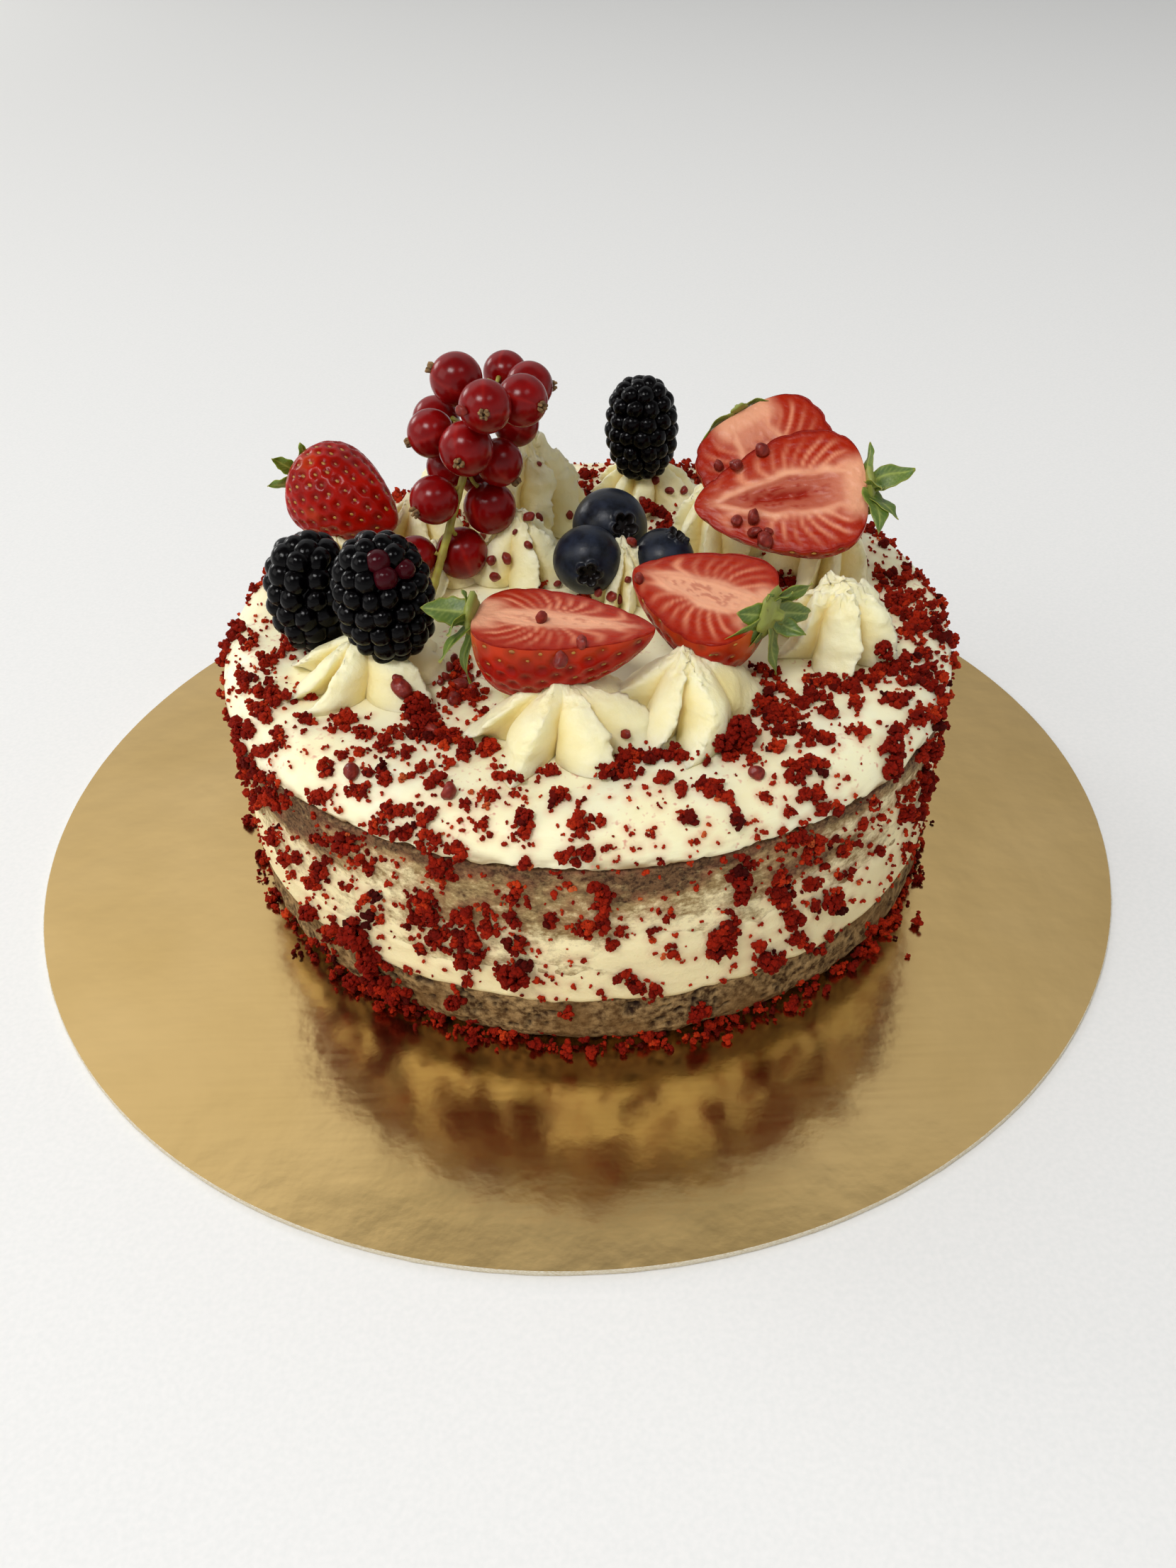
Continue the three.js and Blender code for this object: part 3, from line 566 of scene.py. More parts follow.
def wall_film(spots):
    """How much of the scraped coat stays on the upper wall, 0 to 1, lowered under the cap's edge as partly
    painted shade.
    """
    side = np.interp(DEGREES_AROUND, [-180, -150, -125, -100, -75, -50, -20, 30, 180],
                     [0.36, 0.3, 0.34, 0.41, 0.48, 0.48, 0.52, 0.48, 0.36])
    film = side + 0.42 * noise(spots, (14, 14, 5), 21, 2)
    # Less cream just under the cap's edge: bare sponge there, partly real and partly painted shade under the
    # cap.
    film += 0.38 * ease(spots[..., 2], 44, 30) - 0.4 * ease(spots[..., 2], 45, 50)
    return np.clip(film, 0, 1)


def upper_piece():
    height = np.concatenate([np.linspace(22, 50.0, 58), [50.4, 50.7]])
    spots = on_wall(height)
    film = wall_film(spots)
    inset = np.interp(height, [22, 26, 38, 48, 50.0, 50.4, 50.7],
                      [0.8, 0.6, 0.85, 0.7, 0.55, 0.9, 2.5])[:, None]
    rough = 0.3 * noise(spots, 2.4, 22, 2) * (1 - film) + 0.22 * noise(spots, (14, 14, 3), 23, 2)
    reach = CAKE_RADIUS - inset + rough + 0.25 * film
    rings = cake_rings(reach, height[:, None])
    skin = tube(rings, film=film)
    make_piece("scraped_upper_sponge", skin, [MATERIALS["coat"]], ["sponge_upper"])
    return skin


def smear_piece():
    """The white band between the sponges, drawn up over the wall in an uneven smear."""
    share = np.linspace(0, 1, 54)
    low = 15.0 + 0.55 * noise(on_wall([15.0])[0], 7, 31, 2) + 0.35 * noise(on_wall([15.0])[0], 2.5, 32)
    edge = np.interp(DEGREES_AROUND, [-180, -140, -110, -90, -60, -30, 0, 90, 180],
                     [29, 28, 28, 32.5, 35, 34, 32, 30, 29])
    edge = edge + 3.2 * noise(on_wall([30.0])[0], 15, 33, 2)
    height = low + share[:, None] * (40 - low)
    spots = cake_rings(np.full(height.shape, CAKE_RADIUS), height)
    ragged = 1.6 * noise(spots, (9, 9, 2.5), 34, 2)
    thick = 0.75 * ease(edge + ragged - height, -2.0, 5.0) - 0.32 + 0.14 * noise(spots, (12, 12, 3), 35, 2)
    thick -= 0.9 * ease(height, 36, 39)
    inset = np.interp(share, [0, 0.02, 0.06, 1], [1.5, 0.7, 0.35, 0.35])[:, None]
    reach = CAKE_RADIUS - inset + thick - 0.35
    rings = cake_rings(reach, height)
    below = wall_film(spots)
    skin = tube(rings, film=below + (1.05 - below) * ease(thick, -0.3, 0.3))
    make_piece("cream_filling_smear", skin, [MATERIALS["coat"]], ["cream_filling"])
    return skin


def top_piece():
    """The cream on top: flat, with a rounded shoulder that the knife has left slightly dragged."""
    arc = np.linspace(0.02, math.pi / 2, 26)
    flat = np.linspace(CAKE_RADIUS - SHOULDER, 1.0, 46)[1:]
    inset = np.concatenate([[5.0, 1.4, 0.45], SHOULDER * (1 - np.cos(arc)), CAKE_RADIUS - flat])
    height = np.concatenate([[51.3, 51.1, 51.2], CAKE_TOP - SHOULDER * (1 - np.sin(arc)),
                             np.full(len(flat), CAKE_TOP)])
    reach = (CAKE_RADIUS - inset)[:, None] + np.zeros(COLUMNS)
    spots = cake_rings(reach, height[:, None])
    lower_edge = ease(height, 53.5, 51.2)[:, None]
    brink = on_wall([51.0])[0]
    ripple = 0.5 * noise(brink, 1.5, 46, 2) + 0.7 * noise(brink, 5, 41, 2) + 0.4 * noise(brink, 18, 42)
    ripple = np.maximum(ripple, -0.35)
    swell = 0.3 * noise(spots, 22, 43) + 0.16 * noise(spots, (7, 7, 3), 44, 2)
    ledge = 0.3 * ease(height, 57.6, 58.2)[:, None] * (0.5 + 0.5 * noise(spots, 20, 45))
    outward = np.clip((height - CAKE_TOP + SHOULDER) / SHOULDER, 0, 1)[:, None]
    moved = swell - ledge * (outward < 1)
    rings = cake_rings(reach + moved * (1 - outward) * (reach > 60), height[:, None] + moved * outward)
    rings[..., 2] += lower_edge * ripple
    thin = ease(height, 54.6, 51.4)[:, None] * ease(noise(spots, (5, 5, 1.6), 47, 3), -0.35, 0.75)
    skin = tube(rings, thin=thin)
    make_piece("spread_cream_top", skin, [MATERIALS["cream"]], ["cream_top"])
    return skin


# ---------------------------------------------------------------- piped kisses
BLUNT_TOPS = {"tall": 3.0, "right": 2.7, "under_halves": 2.4, "back_right": 2.2, "front_right": 1.9}
SWIRLS = {
    # name: x, y, radius, height, petals, turn, twist
    "front_left": (-41, -29, 17, 11, 7, -166, 14), "front": (-1, -50, 18.5, 13, 7, 176, 10),
    "front_right": (24, -45, 16, 14, 5, -72, 12), "right": (57, -24, 12.5, 17, 6, -110, 16),
    "back_right": (59, 9, 12.5, 19, 7, 20, 12), "under_halves": (36, 21, 12.5, 19, 7, 40, 12),
    "back": (20, 51, 14, 12, 7, 10, 12), "tall": (-9, 39, 15, 23, 8, 0, 30),
    "back_left": (-29, 51, 12, 13, 7, 25, 12), "left": (-35, 29, 11, 14, 7, 50, 12),
    "far_left": (-54, 16, 12, 11, 7, 15, 12), "middle": (-10.5, 13, 12, 16, 6, -95, 10),
    "stem": (-30, 12, 9.5, 9, 6, 30, 10), "inner": (13, 1, 10, 14, 7, -80, 20),
}


def swirl_skin(seed, blunt, x, y, radius, height, petals, turn, twist):
    """A star-nozzle kiss: broad petals with a crisp edge on one side, deep creases and a torn top."""
    rows, columns = 60, 28 * petals
    up = np.linspace(0, 1, rows)[:, None]
    angle = np.linspace(0, 2 * math.pi, columns, endpoint=False)[None, :]
    across = 0.97 * np.clip(1 - up ** blunt, 0, 1) ** 0.8
    place = angle * petals / (2 * math.pi) + 0.16 * np.sin(angle * 2 + seed)
    petal = np.round(place)
    signed = 2 * (place - petal)
    picks = [hashed(np.stack([petal.ravel() % petals, np.full(columns, seed), np.full(columns, i)], -1)
                    .astype(np.int64), seed + 7)[None, :] for i in range(4)]
    crest = (0.3 + 0.3 * np.abs(picks[0])) * np.where(picks[3] > -0.5, 1, -1)
    broad = np.where(np.sign(crest) > 0, signed < crest, signed > crest)
    from_crest = np.where(signed > crest, (signed - crest) / (1 - crest), (crest - signed) / (1 + crest))
    near = 1 - from_crest
    depth = np.where(broad, from_crest ** 1.7, from_crest ** 0.75)
    groove = SWIRL_GROOVE * (1.15 + 0.15 * picks[2]) * (1 - 0.45 * up ** 2) * depth
    lip = 0.035 * near ** 7 * (1 - up)
    foot = 0.1 * near ** 2 * ease(up, 0.25, 0.0) * (1 + 0.8 * picks[2])
    ripple = 0.02 * np.sin(up * 19 + 5 * picks[1]) * near
    reach = across * (1 - groove + lip + foot + ripple + 0.06 * picks[1] * (1 - up)) * radius
    lift = 0.08 * height * picks[2] * near * ease(up, 0.95, 0.3) * ease(up, 0.0, 0.25)
    swept = angle + np.radians(turn + twist * up + (10 * picks[1] + 9) * near * np.sin(math.pi * up))
    rings = np.stack([x + reach * np.cos(swept), y + reach * np.sin(swept),
                      CAKE_TOP + 0.05 + up * height + lift], -1)
    high = ease(up, 0.84 - 0.09 * blunt, 0.97) * min(1.0, blunt / 2.2)
    torn = 0.3 + 2.5 * high + 1.9 * near ** 8
    pull = push(rings, 1.1, seed + 60, 2)
    ruffled = 1.1 * ease(up, 0.3, 0.6) * max(0.0, blunt - 2.3)
    rings = rings + ruffled[..., None] * push(rings * [1, 1, 1.6], 3.2, seed + 70)
    rings = rings + torn[..., None] * 0.24 * pull * [1, 1, 0.9] * ease(up, 0.0, 0.06)[..., None]
    peaks = np.clip(noise(rings * [1, 1, 0], 2.2, seed + 66, 2), -0.2, 1)
    rings[..., 2] += (0.5 + 0.55 * blunt) * high * peaks
    rings = rings + 0.6 * push(rings, 5.0, seed + 90) * [1, 1, 0.5] * ease(up, 0.0, 0.2)[..., None]
    rings[..., 2] = np.maximum(rings[..., 2], CAKE_TOP + 0.05)
    return tube(rings, groove=depth * ease(up, 1.0, 0.6) + 0 * up)


def swirl_pieces():
    skins = []
    for seed, (name, sizes) in enumerate(SWIRLS.items()):
        skin = swirl_skin(seed, BLUNT_TOPS.get(name, 1.8), *sizes)
        make_piece(f"piped_kiss_{name}", skin, [MATERIALS["piped"]], [f"swirl_{name}"])
        skins.append(skin)
    return skins


# ---------------------------------------------------------------- brambles and blueberries
BRAMBLES = {
    # name: centre, width, height, lean to +X in degrees, drupelet spacing
    "front": ((-36, -29, 79), 19.9, 26.4, -4, 4.7), "left": ((-53.5, -16, 73.6), 18.4, 25.5, 3, 5.5),
    "back": ((19.5, 46.5, 81), 17.4, 24.8, 0, 4.6),
}
DRUPELET_PROUD = 0.45


def bramble_skin_shape(seed, width, height, spacing):
    """Drupelets in staggered rows over a blunt oval, each a slightly squashed ball."""
    ball_points, ball_faces = ball(3)
    polar = np.linspace(0, math.pi, 400)
    outline = np.stack([np.sin(polar) ** 0.72 * width / 2, -np.cos(polar) * height / 2], -1)
    along = np.concatenate([[0], np.cumsum(np.linalg.norm(np.diff(outline, axis=0), axis=1))])
    row_count = round(along[-1] / (0.86 * spacing))
    core = tube(flat_rings(outline[8:-8:16] * [[0.8, 0.86]], 24))
    skins = [Skin(core.points, core.blocks, unripe=0)]
    for row in range(row_count):
        place = (row + 0.5) / row_count * along[-1]
        across, z = (np.interp(place, along, outline[:, i]) for i in (0, 1))
        ahead = [np.interp(place + 0.2, along, outline[:, i]) - v for i, v in ((0, across), (1, z))]
        out = unit(np.array([ahead[1], -ahead[0]]))
        count = max(1, round(2 * math.pi * across / spacing))
        for i in range(count):
            angle = 2 * math.pi * (i + 0.5 * (row % 2) + rng.uniform(-0.13, 0.13)) / count
            radius = spacing * rng.uniform(0.48, 0.57)
            centre = np.array([across, z]) - out * (radius - DRUPELET_PROUD)
            centre[1] += rng.uniform(-0.25, 0.25)
            at = np.array([centre[0] * math.cos(angle), centre[0] * math.sin(angle), centre[1]])
            facing = turn_from_z((out[0] * math.cos(angle), out[0] * math.sin(angle), out[1]))
            shape = ball_points * radius * [rng.uniform(0.9, 1.05), rng.uniform(0.92, 1.1), 1.0]
            shape = shape * (1 + 0.05 * noise(ball_points + at, 1.2, seed))[:, None]
            # Painted light: drupelets on the lit upper front of the front bramble are coloured wine red, as
            # light shining through them.
            lit = seed == 0 and z > height * 0.2 and -75 < math.degrees(
                math.atan2(math.sin(angle), math.cos(angle))) < -15 and rng.random() < 0.45
            skins.append(Skin(shape @ facing.T + at, [(ball_faces, 0)], unripe=1.0 if lit else 0.0))
    return joined(skins)


def bramble_pieces():
    skins = []
    for seed, (name, (at, width, height, lean, spacing)) in enumerate(BRAMBLES.items()):
        leaning = np.array(Matrix.Rotation(math.radians(lean), 3, "Y"))
        skin = bramble_skin_shape(seed, width, height, spacing).placed(leaning, np.array(at))
        make_piece(f"bramble_berry_{name}", skin, [MATERIALS["bramble"]], [f"bramble_{name}"])
        skins.append(skin)
    return skins


BLUEBERRIES = {
    # name: centre, radius, where its crown faces
    "front": ((5, -0.4, 70.5), 7.8, (0.02, -0.99, 0.06)),
    "back": ((10.5, 16.8, 69.7), 8.9, (0.37, -0.82, 0.42)),
    "right": ((22, 2.2, 68.6), 7.1, (0.43, -0.05, 0.82)),
}


def blueberry_pieces():
    skins = []
    for seed, (name, (at, radius, crown)) in enumerate(BLUEBERRIES.items()):
        polar = np.radians(np.concatenate([np.linspace(179, 50, 28), np.linspace(46, 1, 34)]))[:, None]
        angle = np.linspace(0, 2 * math.pi, 80, endpoint=False)[None, :]
        star = np.abs(np.cos(2.5 * angle + 0.3 * seed)) ** 0.7
        brim = 12 + 7 * star
        from_brim = np.degrees(polar) - brim
        raised = 0.11 * (0.45 + 0.55 * star) * np.exp(-(from_brim / 4.2) ** 2) * (
            1 + 0.3 * np.sin(3 * angle + seed))
        hollow = 0.17 * ease(from_brim, 0.5, -6.0)
        reach = radius * (0.985 + raised - hollow - 0.05 * np.exp(-((np.degrees(polar) - 180) / 9) ** 2))
        rings = np.stack([reach * np.sin(polar) * np.cos(angle), reach * np.sin(polar) * np.sin(angle),
                          reach * np.cos(polar) * 0.97], -1)
        rings *= (1 + 0.015 * noise(rings + at, 6, seed + 80))[..., None]
        dry = np.clip(ease(from_brim, 4.5, -1.0), 0, 1) * np.ones_like(angle)
        skin = tube(rings, crown=dry)
        skin = skin.placed(turn_from_z(crown), np.array(at))
        make_piece(f"blueberry_fruit_{name}", skin, [MATERIALS["blueberry"]], [f"blueberry_{name}"])
        skins.append(skin)
    return skins


# ---------------------------------------------------------------- strawberries
STRAWBERRIES = {
    # name: stem, tip, width, depth (0 for a whole one), where the cut face looks
    "whole": ((-61, 28, 80), (-38.5, 13.5, 73.5), 22, 0, (0, 0, 1)),
    "half_front": ((-17, -40.5, 81.5), (17, -47, 80.5), 25, 16, (0, 0.05, 1)),
    "half_right": ((39, -38, 78.3), (14.2, -23.5, 80.5), 28, 15.5, (-0.05, -0.2, 1)),
    "half_top": ((65, -1, 86.5), (28.5, 1.5, 81.5), 29, 11.5, (0, -0.64, 0.77)),
    "half_back": ((40.2, 21.9, 94.3), (55.8, -4.7, 75), 31, 10, (-0.147, -0.636, 0.757)),
}
FACES = {  # for each half, in the same order: how pale and hollow its middle is, and how wide
    1: (0.95, 0.0, 0.2), 2: (0.95, 0.15, 0.24), 3: (0.3, 1.0, 0.33), 4: (0.5, 0.45, 0.3)}
SEED_SPACING = 3.4
SEED_SIZE = (0.6, 0.36, 0.22)


def girth(share):
    """Half-width of a strawberry, from its stem at 0 to its tip at 1."""
    return np.sin(math.pi * np.clip(share, 0, 1) ** 0.56) ** 0.6


def seed_places(length, width, depth):
    """Seeds in staggered rows over the skin: share of the length and turn round the berry."""
    places = []
    rows = round(length * 1.12 / (0.86 * SEED_SPACING))
    for row in range(1, rows):
        share = (row / rows) ** 1.08
        half_round = math.pi * girth(share) * (width + 2 * (depth or width / 2)) / 4
        count = max(2, round(half_round / SEED_SPACING))
        start, span, total = (-math.pi, math.pi, count) if depth else (0.0, 2 * math.pi, 2 * count)
        for i in range(total):
            turn = start + span * (i + 0.25 + 0.5 * (row % 2) + rng.uniform(-0.1, 0.1)) / total
            places.append((share + rng.uniform(-0.012, 0.012), turn))
    return places


def skin_point(share, turn, length, width, depth):
    """A point of the smooth skin: X to the tip, the cut face of a half at z = 0."""
    radius = girth(share)
    return np.stack([share * length + 0 * turn, radius * width / 2 * np.cos(turn),
                     radius * (depth or width / 2) * np.sin(turn)], -1)


def strawberry_skins(seed, stem, tip, width, depth):
    """Skin with its dimples, seeds, and the cut face of a half."""
    length = float(np.linalg.norm(np.subtract(tip, stem)))
    rows = 72
    share = ((1 - np.cos(np.pi * np.linspace(0.015, 0.995, rows))) / 2)[:, None]
    if depth:
        turns = np.linspace(-math.pi, 0, 84)[None, :]
    else:
        turns = np.linspace(0, 2 * math.pi, 132, endpoint=False)[None, :]
    share, turns = np.broadcast_arrays(share, turns)
    points = skin_point(share, turns, length, width, depth)
    axis = points * [1, 0, 0]
    outward = unit(points - axis + [1e-6, 0, 0])
    seeds = seed_places(length, width, depth)
    centres = np.array([skin_point(np.array(s), np.array(t), length, width, depth) for s, t in seeds])
    nearest = np.full(points.shape[:2], 99.0)
    for centre in centres:
        nearest = np.minimum(nearest, np.linalg.norm(points - centre, axis=-1))
    # `dimple` sinks the skin round each seed, and the material darkens it there as painted shade.
    dimple = np.exp(-(nearest / 0.95) ** 2)
    uneven = 1 + 0.03 * noise(points, (9, 7, 7), seed + 100)
    fade = ease(share, 0.0, 0.12)
    shaped = axis + (points - axis) * uneven[..., None] - outward * (0.7 * dimple * fade - 0.12)[..., None]
    if depth:
        shaped[:, [0, -1], 2] = 0
        edge = np.minimum(turns + math.pi, -turns) / math.pi
        shaped[..., 1] *= 1 - 0.02 * np.exp(-(edge / 0.012) ** 2)
    pale = 0.85 * ease(share, 0.1, 0.0) + 0.25 * ease(noise(points, 6, seed + 103), 0.4, 0.9)
    if depth:
        pale = pale + 0.3 * ease(np.minimum(turns + math.pi, -turns), 0.35, 0.0)
    columns = share.shape[1]
    flat = shaped.reshape(-1, 3)
    skins = [Skin(flat, [(sheet_faces(rows, columns, not depth), 0)], dimple=dimple,
                  pale=np.clip(pale, 0, 1))]
    for end in (0, rows - 1):
        ring = shaped[end]
        centre = ring.mean(axis=0) * [1, 1 if depth else 0, 1 if depth else 0]
        fan = [[i, (i + 1) % columns, columns] for i in range(columns if not depth else columns - 1)]
        skins.append(Skin(np.vstack([ring, centre]), [(fan, 0)], dimple=0, pale=0.8 if end == 0 else 0))
    ball_points, ball_faces = ball(2)
    for (share_at, turn_at), centre in zip(seeds, centres):
        if share_at < 0.05 or share_at > 0.97:
            continue
        middle = np.array([centre[0], 0, 0])
        out = unit(centre - middle)
        ahead = skin_point(np.array(share_at + 0.02), np.array(turn_at), length, width, depth) - centre
        facing = axes(ahead, out)
        shape = ball_points * SEED_SIZE * rng.uniform(0.85, 1.15)
        at = middle + (centre - middle) * 0.985 - out * 0.42
        skins.append(Skin(shape @ facing.T + at, [(ball_faces, 1)], dimple=0, pale=0))
    if depth:
        skins.append(cut_face(seed, shaped, length, width, *FACES[seed]))
    return joined(skins)


def cut_face(seed, shaped, length, width, filled, hollow, wide):
    """The knife-cut face: pale rays that fan out from a pointed pale ring to a thin red rim."""
    columns = 121
    side = np.linspace(-1, 1, columns)[None, :]
    left, right = shaped[:, 0], shaped[:, -1]
    x = left[:, 0][:, None] + 0 * side
    y = ((left[:, 1] + right[:, 1]) / 2)[:, None] + (right[:, 1] - left[:, 1])[:, None] / 2 * side
    level = np.stack([x, y, 0 * x], -1)
    share, edge, across = x / length, np.abs(side) + 0 * x, np.abs(y) / (width / 2)
    soft, fine = noise(level, 4, seed + 110, 2), noise(level, 0.9, seed + 112, 2)
    middle = ease(share, 0.05, 0.16) * ease(share, 0.97, 0.75)
    rim = 0.25 * ease(edge, 0.5, 0.9) + 0.75 * ease(edge + 0.02 * fine, 0.9, 0.98)
    rim = rim + 0.3 * ease(share, 0.75, 1.0)
    shore = wide * np.sin(math.pi * np.clip((share + 0.12) / 0.98, 0, 1)) ** 0.8 + 0.035 * soft
    bow = 14 * ease(edge, 0.4, 1.0)
    fan = (np.degrees(np.arctan2(np.abs(y), x - 0.4 * length)) - bow) / 16.5 + 0.35 * np.sign(y)
    wobble = 0.22 * noise(level * [1, 0.35, 1], 5, seed + 114)
    lines = (0.5 + 0.5 * np.cos(2 * math.pi * (fan + wobble))) ** 2.6
    lines = lines * (0.75 + 0.5 * noise(np.stack([fan, np.sign(y) + 0 * fan, 0 * fan], -1), 0.9, seed + 115))
    beyond = across - shore
    ray = lines * ease(beyond, -0.04, 0.06) * ease(edge, 0.97, 0.62) * middle
    ring = np.exp(-(beyond / 0.07) ** 2) * ease(share, 0.98, 0.8)
    fill = filled * ease(beyond, 0.08, -0.06) * ease(share, 0.98, 0.7)
    heart = ease(share, 0.2, 0.07) * ease(across, 0.6, 0.3)
    core = np.maximum.reduce([ring * (0.75 + 0.25 * soft), fill, heart])
    core = core + 0.16 * ease(beyond, 0.3, 0.0) * middle
    inner = ease(beyond, -0.03, -0.12) * ease(share, 0.12, 0.3) * ease(share, 0.9, 0.72)
    # The hollow sinks the face, and its darker red in the material is painted shade; the specks below are
    # real.
    slit = hollow ** 2 * np.exp(-((np.abs(y) / 1.1 + 0.35 * fine)) ** 2) * ease(share, 0.27, 0.36) * ease(
        share, 0.72, 0.58)
    specks = inner * ease(fine, 0.25, 0.55)
    z = 0.25 * np.clip(1 - edge ** 2, 0, 1) - (1.0 + 0.5 * fine) * slit
    z = z - (0.1 + 0.3 * hollow) * inner - 0.1 * ray
    z = (z + 0.1 * fine * (edge < 0.97)) * ease(share, 0.0, 0.03) - 0.4 * ease(edge, 0.96, 1.0)
    z[:, [0, -1]] = 0
    z[[0, -1]] = 0
    return Skin(np.stack([x, y, z], -1).reshape(-1, 3), [(sheet_faces(len(x), columns, False)[:, ::-1], 2)],
                rim=np.clip(rim, 0, 1), ray=np.clip(0.85 * ray, 0, 1), core=np.clip(0.9 * core, 0, 1),
                slit=np.clip(0.45 * hollow * inner + 0.4 * specks + (0.75 + 0.5 * fine) * slit, 0, 1))


def strawberry_pieces():
    skins = []
    dress = [MATERIALS["berry"], MATERIALS["seed"], MATERIALS["cut"]]
    for seed, (name, (stem, tip, width, depth, face)) in enumerate(STRAWBERRIES.items()):
        turn = axes(np.subtract(tip, stem), face)
        skin = strawberry_skins(seed, stem, tip, width, depth).placed(turn, np.array(stem))
        make_piece(f"garden_strawberry_{name}", skin, dress if depth else dress[:2],
                   [f"strawberry_{name}"])
        skins.append(skin)
    return skins


CALYXES = {
    # name: size of its hub, then leaves as direction round the stem, length, width, opening, curl and roll
    "whole": (0.85, (0, 7, 3.8, -5, 10), (40, 8, 3.8, -8, -10), (75, 8.5, 3.8, 0, 20), (200, 6, 3.2, 0, -20),
              (250, 7.5, 3.6, 25, 10), (310, 8, 3.6, 30, -10)),
    "half_front": (0.95, (80, 4.5, 3.4, 25, -10), (160, 9, 3.4, 0, -15), (190, 13, 4.4, 12, -8, -35),
                   (218, 11, 4.4, 28, 8, -45), (255, 8, 4.0, 35, -10, -30), (300, 9.5, 5.6, 70, 10),
                   (20, 4, 3, 30, 10)),
    "half_right": (1.15, (15, 5, 4.2, 15, -10), (60, 8, 5.2, -10, -15), (100, 13.5, 5.8, -16, -12),
                   (140, 10, 5.0, 0, -18), (172, 13, 5.4, 20, -8), (205, 9, 4.4, 36, 22),
                   (240, 10.5, 5.0, 48, -20), (285, 9.5, 5.4, 26, 8), (325, 5.5, 4.6, 30, 14)),
    "half_top": (0.9, (345, 9.5, 6.4, 72, 6), (275, 9, 2.6, 12, 4, 50), (50, 7, 4.4, 30, -6, 55),
                 (78, 12, 5.2, 16, -12, 62), (104, 10.5, 5.0, 34, 12, 50), (150, 7, 3.6, 15, -20),
                 (210, 6, 3.2, 10, -20)),
    "half_back": (0.5, (268, 10.5, 2.6, -2, -12), (92, 6.5, 2.4, -4, -10), (180, 6, 3, 20, 10),
                  (228, 7, 3, 12, 4)),
}
LEAF_THICKNESS, CALYX_HUB, CALYX_CLEARANCE = 0.42, 1.7, 0.3


def leaf_skin(seed, direction, length, width, opening, curl, roll=0):
    """One pointed leaf of a calyx, folded a little at its midrib, waved, and curled evenly along itself."""
    rows, columns = 26, 13
    share = np.linspace(0, 1, rows)[:, None]
    side = np.linspace(-1, 1, columns)[None, :]
    outline = np.interp(share, [0, 0.15, 0.38, 0.65, 0.86, 1], [0.75, 0.92, 1.0, 0.78, 0.38, 0.03])
    outline = outline * (1 + 0.05 * np.sin(share * 23 + seed))
    across = side * outline * width / 2
    bend = np.radians(opening + curl * 2.2 * share ** 1.4)
    step = length / (rows - 1)
    along = np.cumsum(np.cos(bend), axis=0) * step
    rise = np.cumsum(np.sin(bend), axis=0) * step
    wave = 0.04 * length * np.sin(7 * share + 0.4 * seed) + 0.2 * np.abs(across)
    wave = wave + 0.35 * np.sin(11 * share + 2 * side + seed) * np.abs(side) * share
    faces = []
    for height in (0.0, LEAF_THICKNESS):
        up = wave + height * (1 - 0.8 * np.abs(side) ** 3) * (1 - 0.5 * share)
        reach = CALYX_HUB * 0.6 + along - up * np.sin(bend)
        faces.append(np.stack([reach, across + 0 * reach, rise + up * np.cos(bend)], -1))
    rings = np.concatenate([faces[1], faces[0][:, ::-1]], axis=1)
    vein = np.exp(-(side / 0.12) ** 2) + 0.45 * np.exp(
        -((np.abs(((share * 9 - np.abs(side) * 1.6) % 1) - 0.5)) / 0.12) ** 2) * (np.abs(side) > 0.1)
    vein = np.clip(vein, 0, 1) * ease(share, 1.0, 0.8) + 0.8 * ease(share, 0.2, 0.0)
    edge = ease(np.abs(side), 0.8, 1.0) * 0.7 + 0.8 * ease(share, 0.9, 1.0) + 0 * share
    skin = tube(rings, vein=np.clip(np.concatenate([vein, vein[:, ::-1]], axis=1), 0, 1),
                edge=np.clip(np.concatenate([edge, edge[:, ::-1]], axis=1), 0, 1))
    rolled = np.array(Matrix.Rotation(math.radians(roll), 3, "X"))
    return skin.placed(turn_about_z(direction) @ rolled, np.zeros(3))


def calyx_pieces():
    for number, (name, (hub_size, *leaves)) in enumerate(CALYXES.items()):
        stem, tip, width, depth, face = STRAWBERRIES[name]
        hub = hub_size * flat_rings([[0.5, -0.5], [3.4, -0.4], [4.3, 0.2], [3.9, 0.9], [2.4, 1.5], [1.1, 1.8],
                                     [0.8, 2.9], [0.3, 3.1]], 36)
        swell = 1 + 0.12 * noise(hub, 1.5, number + 130) + 0.1 * np.sin(
            5 * np.arctan2(hub[..., 1], hub[..., 0]))
        hub = hub * np.stack([swell, swell, np.ones_like(swell)], -1)
        skins = [tube(hub, vein=np.full(hub.shape[:2], 0.7), edge=np.full(hub.shape[:2], 0.4))]
        skins += [leaf_skin(number * 7 + i, *leaf) for i, leaf in enumerate(leaves)]
        stemward = np.array([[0, 0, -1.0], [0, 1.0, 0], [1.0, 0, 0]])
        local = joined(skins).placed(np.eye(3), np.array([0, 0, CALYX_CLEARANCE]))
        local = local.placed(stemward, np.zeros(3))
        skin = local.placed(axes(np.subtract(tip, stem), face), np.array(stem))
        make_piece(f"green_calyx_{name}", skin, [MATERIALS["leaf"]], [f"calyx_{name}"])


